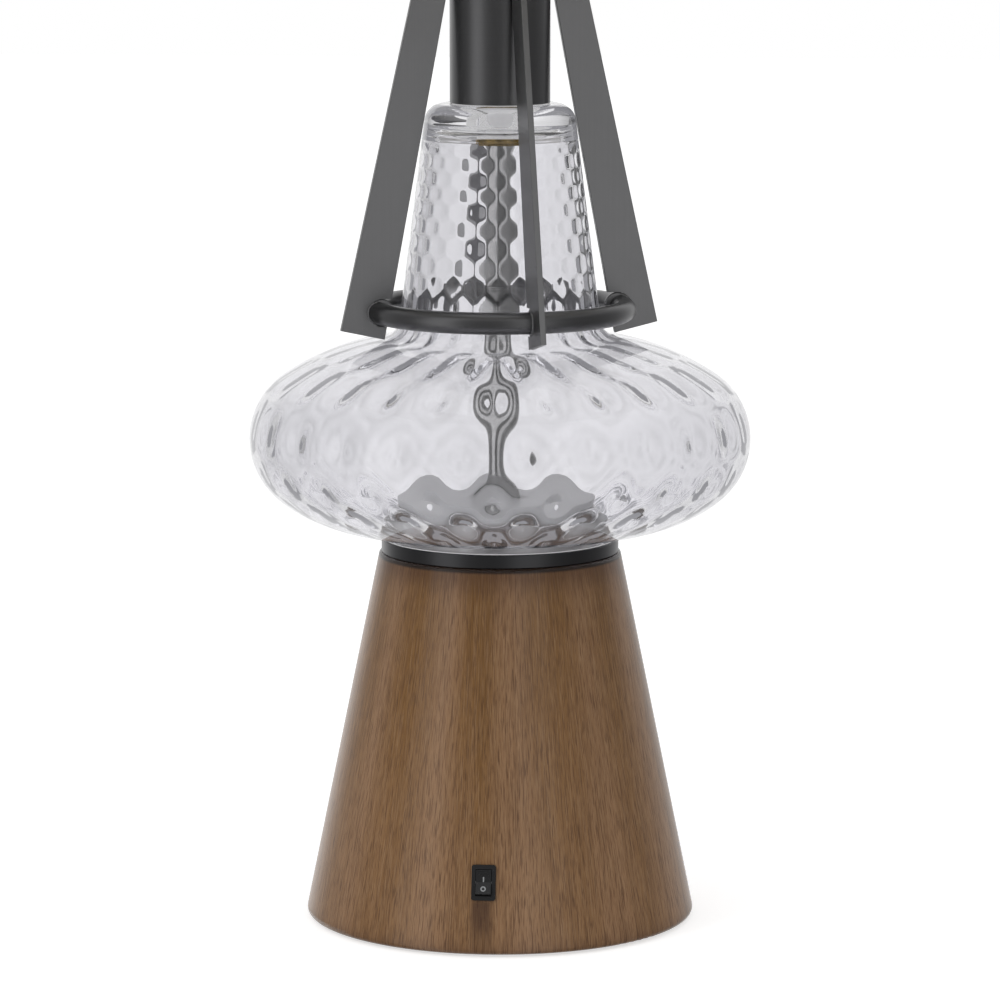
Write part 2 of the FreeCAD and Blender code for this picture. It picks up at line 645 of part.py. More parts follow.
def bottle_side(wall):
    """The bottle's side from foot to shoulder, moved in by the wall: corner points, and
    the radius of the arc that starts at each of them."""
    side = cell.globe_side_round.value - wall
    upper = cell.globe_upper_round.value - wall
    lower = cell.globe_lower_round.value - wall
    centre = (cell.globe_radius.value - cell.globe_side_round.value, globe_up.value)
    up_turn = math.radians(cell.globe_upper_turn.value)
    down_turn = math.radians(cell.globe_lower_turn.value)
    above = (centre[0] + side * math.cos(up_turn), centre[1] + side * math.sin(up_turn))
    below = (centre[0] + side * math.cos(down_turn), centre[1] - side * math.sin(down_turn))
    upper_centre = (centre[0] - (upper - side) * math.cos(up_turn),
                    centre[1] - (upper - side) * math.sin(up_turn))
    lower_centre = (centre[0] - (lower - side) * math.cos(down_turn),
                    centre[1] + (lower - side) * math.sin(down_turn))
    slope = cell.neck_taper.value
    inset = wall * math.hypot(1, slope)
    neck, foot = cell.neck_round.value + wall, cell.glass_foot_round.value + wall
    root, neck_point = blend(upper_centre, upper, cell.neck_low_radius.value - inset,
                             neck_low.value, slope, neck, 1)
    heel, foot_point = blend(lower_centre, lower, cell.glass_foot_radius.value - wall,
                             glass_low.value, 0.0, foot, -1)
    return [(foot_point, foot, False), (heel, lower, True), (below, side, True),
            (above, upper, True), (root, neck, False), (neck_point, 0, True)]


def glass_body():
    """One blown bottle: squashed globe, cone neck and a thick rounded shoulder."""
    wall = cell.glass_wall.value
    slope = cell.neck_taper.value
    shoulder = cell.shoulder_round.value
    shoulder_up = glass_top.value - shoulder
    shoulder_radius = (cell.neck_low_radius.value - slope * (shoulder_up - neck_low.value)
                       - shoulder * math.hypot(1, slope))
    lean = math.atan(slope)
    corners = [(cell.glass_foot_radius, glass_low)]
    arcs = {}
    for point, radius, left in bottle_side(0.0):
        if radius:
            arcs[len(corners)] = (radius, left)
        corners.append(point)
    arcs[len(corners)] = (cell.shoulder_round, True)
    corners.append((shoulder_radius + shoulder * math.cos(lean), shoulder_up + shoulder * math.sin(lean)))
    corners.append((shoulder_radius, glass_top))
    corners.append((cell.glass_hole_radius, glass_top))
    corners.append((cell.glass_hole_radius, crown_low))
    inset = wall * math.hypot(1, slope)
    ceiling_radius = cell.neck_low_radius.value - inset - slope * (
        crown_low.value - neck_low.value)
    inner_round = cell.neck_inner_round.value
    corners.append((ceiling_radius - inner_round, crown_low))
    corners.append((ceiling_radius + slope * inner_round, crown_low.value - inner_round))
    arcs[len(corners) - 2] = (inner_round, False)
    inner = bottle_side(wall)
    for i in range(len(inner) - 1, -1, -1):
        if i > 0 and inner[i - 1][1]:
            arcs[len(corners)] = (inner[i - 1][1], not inner[i - 1][2])
        corners.append(inner[i][0])
    corners.append((cell.glass_foot_radius - cell.glass_wall, glass_low))
    turned("glass_body", corners, arcs)


def glass_seats():
    """Collar, locating disc and seals that hold the glass between base and neck."""
    collar = tube("base_collar", hole_radius, cell.collar_radius, wood_high, collar_high)
    round_rims(collar, [(cell.collar_radius, collar_high, cell.collar_edge),
                        (cell.collar_radius, wood_high, cell.collar_edge)], "collar")
    foot_inner = cell.glass_foot_radius - cell.glass_wall
    tube("glass_foot_seal", foot_inner, cell.glass_foot_radius - cell.disc_gap, collar_high, glass_low)
    tube("glass_seat_disc", hole_radius, foot_inner - cell.disc_gap, collar_high, disc_high)
    tube("stem_tube", cell.stem_bore_radius, cell.stem_radius, disc_high, stem_nut_low)
    hex_nut("stem_nut", cell.stem_nut_corner, stem_nut_low, cell.stem_nut_height)
    tube("stem_washer", hole_radius, cell.stem_washer_radius, stem_washer_low, seal_low)
    tube("glass_top_seal", hole_radius, cell.top_seal_radius, seal_low, crown_low)
    tube("neck_seal", cell.glass_hole_radius, cell.neck_seal_radius + cell.tube_wall,
         glass_top, tube_low)


def neck():
    """Threaded rod, neck tube and the cap that the rod's tension pulls down."""
    bore = cell.tube_radius - cell.tube_wall
    tube("threaded_rod", cell.rod_bore_radius, cell.rod_radius, rod_low, saddle_high + cell.rod_grip)
    tube("neck_tube", bore, cell.tube_radius, tube_low, tube_high)
    plug = bore - cell.cap_gap
    turned("neck_cap", [
        (hole_radius, tube_high - cell.cap_plug_depth), (plug, tube_high - cell.cap_plug_depth),
        (plug, tube_high), (cell.cap_radius, tube_high), (cell.cap_radius, cap_high),
        (hole_radius, cap_high)])


def cage():
    """Four tapered bars on edge, welded to the tube, with a round ring in their slots."""
    slot_centre = cell.ring_radius + cell.ring_wire_radius + cell.weld_gap - cell.slot_radius
    for number, side in enumerate(("front", "right", "back", "left")):
        bar = new_body("cage_bar_" + side)
        flat = new_sketch(bar, "bar_%s_flat" % side)
        top_up = tube_low + cell.bar_top_rise
        draw(flat, [(cell.bar_foot_inner_radius, ring_up - cell.bar_foot_inner_drop),
                    (cell.bar_foot_outer_radius, ring_up - cell.bar_foot_outer_drop),
                    (cell.bar_top_radius, top_up), (cell.tube_radius, top_up),
                    (cell.tube_radius, tube_low + cell.bar_weld_rise)])
        pad(bar, flat, cell.bar_thickness, middle=True)
        round_flats(bar, cell.bar_thickness / 2, cell.bar_edge)
        slot = new_sketch(bar, "bar_%s_slot" % side)
        top = ring_up + cell.slot_radius
        bottom = ring_up - cell.slot_radius
        mouth = cell.tube_radius
        crown = slot_centre + cell.slot_radius
        draw(slot, [(mouth, bottom), (slot_centre, bottom), (crown, ring_up),
                    (slot_centre, top), (mouth, top)],
             {1: (cell.slot_radius, True), 2: (cell.slot_radius, True)})
        pocket(bar, slot, cell.bar_thickness * 2, middle=True)
        bar.Placement.Rotation = FreeCAD.Rotation(FreeCAD.Vector(0, 0, 1), 1.0)
        bind(bar, "Placement.Rotation.Angle", cell.cage_angle + (90.0 * number - 90.0))
    ring = primitive("Torus", "cage_ring", Radius1=cell.ring_radius, Radius2=cell.ring_wire_radius)
    place(ring, up=ring_up)


def harp():
    """Saddle under the socket, two ferrules, the bowed wire and its threaded stud."""
    strap = primitive("Box", "saddle_strap", Length=2 * cell.saddle_reach, Width=cell.saddle_width,
                      Height=cell.saddle_thickness)
    place(strap, -cell.saddle_reach, -cell.saddle_width / 2, cap_high)
    pieces = [strap]
    sleeves = []
    for sign in (-1, 1):
        end = primitive("Cylinder", "saddle_end", Radius=cell.saddle_width / 2,
                        Height=cell.saddle_thickness)
        place(end, sign * cell.saddle_reach, ORIGIN, cap_high)
        post = primitive("Cylinder", "saddle_post", Radius=cell.harp_wire_radius,
                         Height=cell.saddle_thickness + cell.saddle_post_height)
        place(post, sign * cell.saddle_reach, ORIGIN, cap_high)
        pieces += [end, post]
        outer = primitive("Cylinder", "ferrule_blank", Radius=cell.ferrule_radius,
                          Height=cell.ferrule_length)
        inner = primitive("Cylinder", "ferrule_bore", Radius=cell.harp_wire_radius + cell.ferrule_gap,
                          Height=cell.ferrule_length)
        place(outer, sign * cell.saddle_reach, ORIGIN, saddle_high)
        place(inner, sign * cell.saddle_reach, ORIGIN, saddle_high)
        sleeves.append(combined("Cut", "ferrule", [outer, inner]))
    solid = combined("Fuse", "saddle_blank", pieces)
    hole = primitive("Cylinder", "saddle_hole", Radius=hole_radius, Height=cell.saddle_thickness * 4)
    place(hole, up=cap_high - cell.saddle_thickness)
    combined("Cut", "harp_saddle", [solid, hole])
    combined("Group", "harp_ferrules", sleeves)

    foot = (saddle_high + cell.saddle_post_height).value
    base = saddle_high.value
    reach, spread = cell.saddle_reach.value, cell.harp_spread.value
    shoulder = base + cell.harp_shoulder_height.value
    crown = base + cell.harp_height.value
    bow = crown - cell.harp_crown_drop.value
    knee, wide = cell.harp_knee_round.value, cell.harp_bow_round.value
    half = [(reach, foot, 0), (reach, foot + cell.harp_leg.value, knee),
            (spread, shoulder + cell.harp_leg.value, wide), (spread, bow, wide),
            (cell.harp_crown_width.value / 2 + 3.0, crown, knee)]
    route = half + [(-x, z, bend) for x, z, bend in reversed(half)]
    bent_wire("harp_wire", "XZ_Plane", route, "XY_Plane", saddle_high + cell.saddle_post_height,
              cell.harp_wire_radius)
    low = saddle_high + cell.harp_height + cell.harp_wire_radius
    seat = low + cell.stud_seat_thickness
    turned("harp_stud", [
        (ORIGIN, low), (cell.stud_seat_radius, low), (cell.stud_seat_radius, seat),
        (cell.stud_radius, seat), (cell.stud_radius, seat + cell.stud_length),
        (ORIGIN, seat + cell.stud_length)])
    return seat


def socket():
    """Cap, shell, core, thread and contact of the lamp socket, and the bulb in it."""
    base = saddle_high
    wall = cell.socket_wall
    knee = base + cell.socket_flare
    rim = base + cell.socket_cap_height
    turned("socket_cap", [
        (hole_radius, base), (cell.socket_hub_radius, base), (cell.socket_radius, knee),
        (cell.socket_radius, rim), (cell.socket_radius - wall, rim),
        (cell.socket_radius - wall, knee + wall / 2), (cell.socket_hub_radius - wall / 2, base + wall),
        (hole_radius, base + wall)])
    low = base + cell.shell_start
    tube("socket_shell", cell.shell_radius - wall, cell.shell_radius, low, shell_high)
    core_low = base + cell.core_start
    disc("socket_core", cell.core_radius, core_low, thread_low)
    thread_high = thread_low + cell.thread_height
    tube("screw_shell", cell.thread_radius, cell.thread_radius + cell.thread_wall, thread_low, thread_high)
    disc("centre_contact", cell.contact_radius, thread_low, thread_low + cell.contact_height)

    tip = thread_low + cell.contact_height
    cone = tip + cell.bulb_tip_height
    side = cone + cell.bulb_cone_height
    top = side + cell.bulb_cap_height
    cap_radius = cell.bulb_cap_radius
    turned("bulb_cap", [
        (ORIGIN, tip), (cell.bulb_tip_radius, tip), (cell.bulb_tip_radius, cone),
        (cap_radius, side), (cap_radius, top), (ORIGIN, top)])
    centre = (0.0, (base + cell.bulb_centre).value)
    shells = []
    for wall_size in (0.0, cell.bulb_wall.value):
        radius = cell.bulb_radius.value - wall_size
        on_ball, on_neck = blend(centre, radius, cell.bulb_neck_radius.value - wall_size,
                                 centre[1], 0.0, cell.bulb_neck_round.value + wall_size, -1)
        shells.append((radius, on_ball, on_neck, cell.bulb_neck_round.value + wall_size))
    (ball, on_ball, on_neck, bend), (ball_in, in_ball, in_neck, bend_in) = shells
    turned("bulb_glass", [
        (cell.bulb_neck_radius, top), on_neck, on_ball, (ball, centre[1]), (ORIGIN, centre[1] + ball),
        (ORIGIN, centre[1] + ball_in), (ball_in, centre[1]), in_ball, in_neck,
        (cell.bulb_neck_radius - cell.bulb_wall, top)],
        {1: (bend, False), 2: (ball, True), 3: (ball, True), 5: (ball_in, False),
         6: (ball_in, False), 7: (bend_in, True)})


def shade(seat):
    """Fabric cover, its two wire rings, the spider's arms and hub, and the finial."""
    low = saddle_high - cell.shade_drop
    high = low + cell.shade_height
    wide, narrow, wall = cell.shade_bottom_radius, cell.shade_top_radius, cell.shade_wall
    turned("shade_cover", [(wide - wall, low), (wide, low), (narrow, high), (narrow - wall, high)])
    lean = (wide - narrow) / cell.shade_height
    wire = cell.shade_wire_radius
    inset = wall + wire * 1.01 + cell.shade_wire_gap
    lower = primitive("Torus", "shade_bottom_ring", Radius1=wide - inset - lean * wire, Radius2=wire)
    place(lower, up=low + wire)
    ring_up = high - wire
    ring_radius = narrow - inset
    upper = primitive("Torus", "spider_ring", Radius1=ring_radius, Radius2=wire)
    place(upper, up=ring_up)
    hub_low = seat
    hub_high = hub_low + cell.spider_hub_thickness
    hub = tube("spider_hub", cell.spider_hole_radius, cell.spider_hub_radius, hub_low, hub_high)
    pieces = [upper, hub]
    start = cell.spider_hub_radius - wire
    run = ring_radius - start
    rise = ring_up - (hub_low + hub_high) / 2
    length = Size("sqrt(%s)" % (run * run + rise * rise).text, math.hypot(run.value, rise.value))
    dip = math.degrees(math.atan2(rise.value, run.value))
    for number in range(3):
        arm = primitive("Cylinder", "spider_arm", Radius=cell.spider_arm_radius, Height=length)
        turn = 90.0 + 120.0 * number
        lie = FreeCAD.Rotation(FreeCAD.Vector(0, 0, 1), turn)
        tip = FreeCAD.Rotation(FreeCAD.Vector(0, 1, 0), 90.0 - dip)
        side = math.radians(turn)
        middle = ((hub_low + hub_high) / 2).value
        arm.Placement = FreeCAD.Placement(FreeCAD.Vector(
            start.value * math.cos(side), start.value * math.sin(side), middle), lie.multiply(tip))
        pieces.append(arm)
    combined("Fuse", "shade_spider", pieces)

    base = hub_high
    ball = cell.finial_ball_radius
    bore_top = base + cell.finial_bore_depth
    waist = base + cell.finial_waist_height
    top = base + cell.finial_height
    middle_up = top - ball
    turned("finial", [
        (cell.finial_bore_radius, base), (cell.finial_seat_radius, base),
        (cell.finial_seat_radius, base + cell.finial_seat_height), (cell.finial_waist_radius, waist),
        (ball, middle_up), (ORIGIN, top), (ORIGIN, bore_top), (cell.finial_bore_radius, bore_top)],
        {4: (ball, True)})


wood_base()
base_fittings()
switch()
lamp_lead()
glass_seats()
glass_body()
neck()
cage()
shade(harp())
socket()
doc.recompute()

NODES = ["wood_base", "base_plate", "base_plate_screws", "rubber_feet", "ballast_weight",
         "rod_washer", "rod_lock_nut", "threaded_rod", "cord_bushing", "switch_housing",
         "switch_rocker", "rocker_pin", "switch_terminals", "lamp_lead", "base_collar",
         "glass_foot_seal", "glass_seat_disc", "glass_body", "stem_tube", "stem_nut",
         "stem_washer", "glass_top_seal", "neck_seal", "neck_tube", "cage_bar_front",
         "cage_bar_right", "cage_bar_back", "cage_bar_left", "cage_ring", "neck_cap",
         "harp_saddle", "harp_ferrules", "harp_wire", "harp_stud", "socket_cap", "socket_shell",
         "socket_core", "screw_shell", "centre_contact", "bulb_cap", "bulb_glass",
         "shade_cover", "shade_spider", "shade_bottom_ring", "finial"]

for thing in doc.Objects:
    if "Invalid" in thing.State or "Error" in thing.State:
        raise RuntimeError("%s did not rebuild: %s" % (thing.Name, thing.State))
for node in NODES:
    shape = doc.getObjectsByLabel(node)[0].Shape
    if shape.isNull() or not shape.isValid() or not shape.Solids:
        raise RuntimeError("%s has no sound solid" % node)

os.makedirs("parts", exist_ok=True)
for node in NODES:
    shape = doc.getObjectsByLabel(node)[0].Shape
    shape.exportStep("parts/%s.step" % node)
    box = shape.BoundBox
    print("%-20s %2d solids %10.0f mm3  z %6.1f to %6.1f" % (
        node, len(shape.Solids), shape.Volume, box.ZMin, box.ZMax))
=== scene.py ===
import json
import math

import bmesh
import bpy
import numpy as np
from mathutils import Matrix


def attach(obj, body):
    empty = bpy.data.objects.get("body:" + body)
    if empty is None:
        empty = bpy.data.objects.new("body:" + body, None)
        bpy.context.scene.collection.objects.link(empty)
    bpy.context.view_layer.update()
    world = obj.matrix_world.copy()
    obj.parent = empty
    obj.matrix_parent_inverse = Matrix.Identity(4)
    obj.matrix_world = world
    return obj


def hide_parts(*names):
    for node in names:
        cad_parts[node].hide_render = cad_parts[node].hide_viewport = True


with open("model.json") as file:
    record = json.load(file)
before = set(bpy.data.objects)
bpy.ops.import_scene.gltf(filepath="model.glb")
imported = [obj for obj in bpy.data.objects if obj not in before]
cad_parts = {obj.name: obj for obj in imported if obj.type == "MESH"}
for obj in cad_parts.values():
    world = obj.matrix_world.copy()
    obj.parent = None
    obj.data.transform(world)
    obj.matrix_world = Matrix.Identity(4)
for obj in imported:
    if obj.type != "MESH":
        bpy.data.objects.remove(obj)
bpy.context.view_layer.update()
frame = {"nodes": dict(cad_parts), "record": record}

print("frame loaded:", len(frame["nodes"]), "nodes")
mm = 0.001
fullTurn = 2 * math.pi

# camera and light

view = {"distance": 2.075, "height": 0.504, "around": 5.0, "pitch": 8.7911, "lens": 174.0,
        "sensor": 36.0, "farthest": 50.0}

camera = bpy.data.cameras.new("photoCamera")
camera.lens = view["lens"]
camera.sensor_width = view["sensor"]
camera.clip_end = view["farthest"]
cameraObject = bpy.data.objects.new("photoCamera", camera)
turn = math.radians(view["around"])
cameraObject.location = (view["distance"] * math.sin(turn), -view["distance"] * math.cos(turn),
                         view["height"])
cameraObject.rotation_euler = (math.radians(90.0 - view["pitch"]), 0.0, turn)
bpy.context.scene.collection.objects.link(cameraObject)
bpy.context.scene.camera = cameraObject
bpy.context.scene.view_settings.view_transform = "Standard"


class Wire:  # a socket that does arithmetic by adding Math nodes
    def __init__(self, finish, socket):
        self.finish = finish
        self.socket = socket

    def work(self, operation, first, second=None):
        sockets = {0: first} if second is None else {0: first, 1: second}
        return self.finish.node("Math", {"operation": operation}, sockets)

    def __add__(self, other):
        return self.work("ADD", self, other)

    def __sub__(self, other):
        return self.work("SUBTRACT", self, other)

    def __rsub__(self, other):
        return self.work("SUBTRACT", other, self)

    def __mul__(self, other):
        return self.work("MULTIPLY", self, other)

    def __truediv__(self, other):
        return self.work("DIVIDE", self, other)

    def __pow__(self, other):
        return self.work("POWER", self, other)

    __radd__ = __add__
    __rmul__ = __mul__

    def atLeast(self, other):
        return self.work("MAXIMUM", self, other)

    def turnFrom(self, other):  # the angle whose sine and cosine go as self and other
        return self.work("ARCTAN2", self, other)

    def wave(self):
        return self.work("SINE", self)

    def size(self):
        return self.work("ABSOLUTE", self)

    def over(self, other):  # 1 above the limit, else 0
        return self.work("GREATER_THAN", self, other)

    def ramp(self, low, high):  # 0 below low, 1 above high, smooth between
        return self.finish.node("MapRange", {"interpolation_type": "SMOOTHSTEP"},
                                {0: self, 1: low, 2: high, 3: 0.0, 4: 1.0})


class Finish:  # one material or world and its nodes
    def __init__(self, name, owner=None):
        self.owner = owner or bpy.data.materials.new(name)
        self.owner.use_nodes = True
        self.tree = self.owner.node_tree
        self.tree.nodes.clear()

    def node(self, kind, settings=None, sockets=None, out=0):
        made = self.tree.nodes.new("ShaderNode" + kind)
        for word, value in (settings or {}).items():
            if word == "stops":
                ramp = made.color_ramp
                ramp.elements.remove(ramp.elements[1])
                ramp.elements[0].position = value[0][0]
                ramp.elements[0].color = (*value[0][1], 1.0)
                for place, colour in value[1:]:
                    ramp.elements.new(place).color = (*colour, 1.0)
            else:
                setattr(made, word, value)
        for word, value in (sockets or {}).items():
            socket = made.inputs[word]
            if isinstance(value, Wire):
                self.tree.links.new(value.socket, socket)
            elif isinstance(value, tuple) and len(value) < len(socket.default_value):
                socket.default_value = (*value, 1.0)  # a colour whose alpha was left out
            else:
                socket.default_value = value
        return Wire(self, made.outputs[out])

    def place(self):
        return self.node("TexCoord", out="Object")

    def ray(self, word):
        return self.node("LightPath", out=word)

    def parts(self, vector):
        node = self.node("SeparateXYZ", None, {0: vector}).socket.node
        return [Wire(self, node.outputs[i]) for i in range(3)]

    def joined(self, x, y, z):
        return self.node("CombineXYZ", None, {0: x, 1: y, 2: z})

    def noise(self, vector, scale, detail=2.0, rough=0.5):
        return self.node("TexNoise", None, {"Vector": vector, "Scale": scale, "Detail": detail,
                                            "Roughness": rough})

    def mix(self, share, first, second):
        return self.node("Mix", {"data_type": "RGBA"}, {0: share, 6: first, 7: second}, out=2)

    def either(self, share, first, second):
        return self.node("MixShader", None, {0: share, 1: first, 2: second})

    def shine(self, kind, colour, strength):
        return self.node(kind, None, {"Color": colour, "Strength": strength})

    def bump(self, height, strength, distance):
        return self.node("Bump", None, {"Height": height, "Strength": strength,
                                        "Distance": distance})

    def skin(self, **sockets):
        words = {word.replace("_", " "): value for word, value in sockets.items()}
        return self.node("BsdfPrincipled", None, words)

    def done(self, shader, kind="OutputMaterial"):
        output = self.tree.nodes.new("ShaderNode" + kind)
        self.tree.links.new(shader.socket, output.inputs["Surface"])
        return self.owner


studio = {"ambient": 0.62, "top": 0.9, "topStart": 0.5, "topEnd": 0.9, "down": 0.8,
          "downStart": 0.45, "downEnd": 0.7}
white, black = (1.0, 1.0, 1.0), (0.0, 0.0, 0.0)
# the room as open metal shows it, and as rays that leave through the glass find it: (degrees from
# the world's -Y, the photo's side, to the right, brightness)
panels = [(-180, 1.0), (-145, 1.0), (-122, 0.52), (-80, 0.24), (-66, 0.36), (-58, 1.0), (-40, 1.0),
          (-30, 0.34), (0, 0.25), (12, 0.30), (22, 0.76), (42, 0.74), (54, 0.30), (84, 0.20),
          (122, 0.34), (145, 0.62), (165, 0.80), (180, 1.0)]
glassPanels = [(-180, 1.0), (-166, 0.86), (-145, 0.74), (-122, 0.42), (-80, 0.24), (-66, 0.36),
               (-58, 1.0), (-22, 1.0), (-13, 0.26), (6, 0.12), (14, 0.26), (20, 0.80), (48, 0.80),
               (56, 0.36), (84, 0.22), (122, 0.38), (145, 0.80), (166, 0.90), (180, 1.0)]

world = bpy.data.worlds.new("studioWorld")
bpy.context.scene.world = world
sky = Finish("studioWorld", world)
east, north, up = sky.parts(sky.node("TexCoord", out="Generated"))
side = east.turnFrom(0.0 - north) / fullTurn + 0.5
fromCamera, glossy, throughGlass = [sky.ray("Is %s Ray" % word) for word in
                                    ("Camera", "Glossy", "Transmission")]
openRoom, glassRoom = [
    sky.node("ValToRGB", {"stops": [(angle / 360 + 0.5, (bright,) * 3) for angle, bright in run]},
             {0: side})
    for run in (panels, glassPanels)]
seen = sky.mix(throughGlass, openRoom, glassRoom)
seen = sky.mix(up.ramp(studio["topStart"], studio["topEnd"]), seen, (studio["top"],) * 3)
below = (0.0 - up).ramp(studio["downStart"], studio["downEnd"]) * throughGlass
seen = sky.mix(below, seen, (studio["down"],) * 3)
around = sky.either(glossy.atLeast(throughGlass), sky.shine("Background", white, studio["ambient"]),
                    sky.shine("Background", seen, 1.0))
sky.done(sky.either(fromCamera, around, sky.shine("Background", white, 1.0)), "OutputWorld")

# name: (place, width, height, watts). Each leans down to the height of the aim but is turned away
# from it: the key lamp's light only grazes the object, and the others light the floor beside it
lamps = {"keyLeft": ((-1.5, -1.5, 1.5), 1.3, 1.3, 26.0),
         "fillRight": ((1.7, -1.2, 0.9), 1.2, 1.2, 12.0),
         "edgeLeft": ((-1.3, 1.0, 0.6), 0.5, 1.6, 14.0),
         "edgeRight": ((1.3, 1.0, 0.6), 0.5, 1.6, 8.0)}
aim = np.array([0.0, 0.0, 0.25])
for name, (spot, width, height, power) in lamps.items():
    lamp = bpy.data.lights.new(name, "AREA")
    lamp.shape = "RECTANGLE"
    lamp.size, lamp.size_y, lamp.energy = width, height, power
    lampObject = bpy.data.objects.new(name, lamp)
    lampObject.location = spot
    towards = aim - np.array(spot)
    lampObject.rotation_euler = (math.acos(-towards[2] / np.linalg.norm(towards)), 0.0,
                                 math.pi - math.atan2(towards[0], -towards[1]))
    lampObject.visible_glossy = lampObject.visible_transmission = False
    bpy.context.scene.collection.objects.link(lampObject)


# making pieces, in millimetres and degrees

mergeWithin = 1e-6  # metres


def gridFaces(rows, columns, closedRows=False, closedColumns=True):
    # quads between neighbours on a grid of rows by columns, wrapped where it closes
    i = np.arange(rows if closedRows else rows - 1)[:, None]
    j = np.arange(columns if closedColumns else columns - 1)[None, :]
    after, beside = (i + 1) % rows, (j + 1) % columns
    return np.stack([i * columns + j, i * columns + beside, after * columns + beside,
                     after * columns + j], axis=-1).reshape(-1, 4)


def endFaces(rows, columns, last=True):
    # one polygon over the first row of a grid, and one over its last
    ends = [list(range(columns))[::-1]]
    return ends + [list(range((rows - 1) * columns, rows * columns))] if last else ends


def makePiece(name, points, faces, finish, body="lamp", uv=None):
    # points in millimetres; faces as one array of quads or a list of polygons; finish as the
    # material the piece takes
    mesh = bpy.data.meshes.new(name)
    mesh.from_pydata((np.asarray(points).reshape(-1, 3) * mm).tolist(), [],
                     faces.tolist() if hasattr(faces, "tolist") else faces)
    if uv is not None:
        layer = mesh.uv_layers.new(name="weave")
        corners = np.empty(len(mesh.loops), dtype=np.int32)
        mesh.loops.foreach_get("vertex_index", corners)
        layer.data.foreach_set("uv", np.asarray(uv).reshape(-1, 2)[corners].ravel())
    shell = bmesh.new()
    shell.from_mesh(mesh)
    bmesh.ops.remove_doubles(shell, verts=shell.verts, dist=mergeWithin)
    bmesh.ops.recalc_face_normals(shell, faces=shell.faces)
    shell.to_mesh(mesh)
    shell.free()
    mesh.polygons.foreach_set("use_smooth", np.full(len(mesh.polygons), True))
    mesh.materials.append(finish)
    piece = bpy.data.objects.new(name, mesh)
    bpy.context.scene.collection.objects.link(piece)
    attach(piece, body)
    return piece


def evenAngles(count, offset=0.0):
    # angles of count points that share a full turn
    return (np.arange(count) + offset) * fullTurn / count


def spun(r, t, z):
    # x = r cos t, y = r sin t, and z as it is, spread over one grid
    return np.stack(np.broadcast_arrays(r * np.cos(t), r * np.sin(t), z), axis=-1)


def turnedGrid(profile, columns, first=0.0):
    # (r, z) carried once round the axis: x = r cos t, y = r sin t
    profile = np.asarray(profile, dtype=float)
    return spun(profile[:, 0:1], evenAngles(columns) + math.radians(first), profile[:, 1:2])


def arcRun(centre, radius, start, finish, count):
    # points on an arc: centre + radius (cos a, sin a)
    a = np.radians(np.linspace(start, finish, count))
    return np.stack([centre[0] + radius * np.cos(a), centre[1] + radius * np.sin(a)], axis=-1)


def lineRun(start, finish, count):
    # points on a straight line from start to finish
    share = np.linspace(0.0, 1.0, count)[:, None]
    return np.asarray(start) * (1 - share) + np.asarray(finish) * share


def wayAlong(run):
    # length along a run of points, from 0 at its first
    return np.concatenate([[0.0], np.cumsum(np.linalg.norm(np.diff(run, axis=0), axis=1))])


def pointsAt(places, lengths, run):
    # points of a run at the given lengths along it
    return np.stack([np.interp(places, lengths, run[:, i]) for i in (0, 1)], axis=-1)


def spaced(run, step):
    # the same run with its points a step apart along it
    lengths = wayAlong(run)
    places = np.linspace(0.0, lengths[-1], max(int(lengths[-1] / step), 2))
    return pointsAt(places, lengths, run)


# glass bottle

bottle = {"footRadius": 51.2, "footRound": 3.0, "low": 167.7, "globeRadius": 108.6,
          "globeHeight": 210.6, "sideRound": 32.3, "upperRound": 109.0, "upperTurn": 56.4,
          "lowerRound": 62.0, "lowerTurn": 51.6, "wall": 4.2, "neckRound": 8.4,
          "neckLow": (41.2, 280.0), "taper": 0.1263, "shoulder": 8.2, "top": 355.4,
          "ceiling": 344.8, "hole": 7.0, "innerRound": 5.0, "columns": 240,
          "footPoints": 8, "globePoints": 60, "rootPoints": 24, "shoulderPoints": 14,
          "neckPoints": 30, "ceilingPoints": 8, "topPoints": 4,
          "outerStep": 3.4, "innerStep": 1.05, "tracingStep": 0.25,
          "optic": 24, "opticAt": -86.7, "neckBoss": 0.855, "globeBoss": 6.2, "bossSpread": 2.5,
          "lensReach": 5.6, "lensSoft": 4.0, "rowStep": 6.7, "neckFrom": 248.0, "neckFade": 14.0,
          "topFade": 4.0, "footFade": 10.0}
# heights of the optic's rows on the inner wall, from the neck's top down to the foot
opticRows = [348.8, 343.4, 337.5, 331.3, 324.1, 318.0, 311.3, 303.5, 296.2, 287.0, 279.4, 270.6,
             258.5, 247.0, 236.6, 215.6, 197.3, 188.0, 180.0, 174.0]


def tangentBlend(centre, radius, lineRadius, lineHeight, slope, fillet, side):
    # where a small arc meets a larger one from outside and then a leaning line
    length = math.hypot(1, slope)
    normal = np.array([1 / length, slope / length])
    along = np.array([-slope / length, 1 / length])
    start = np.array([lineRadius, lineHeight]) + fillet * normal - np.asarray(centre)
    b = start @ along
    c = start @ start - (radius + fillet) ** 2
    return np.asarray(centre) + start + (-b + side * math.sqrt(b * b - c)) * along


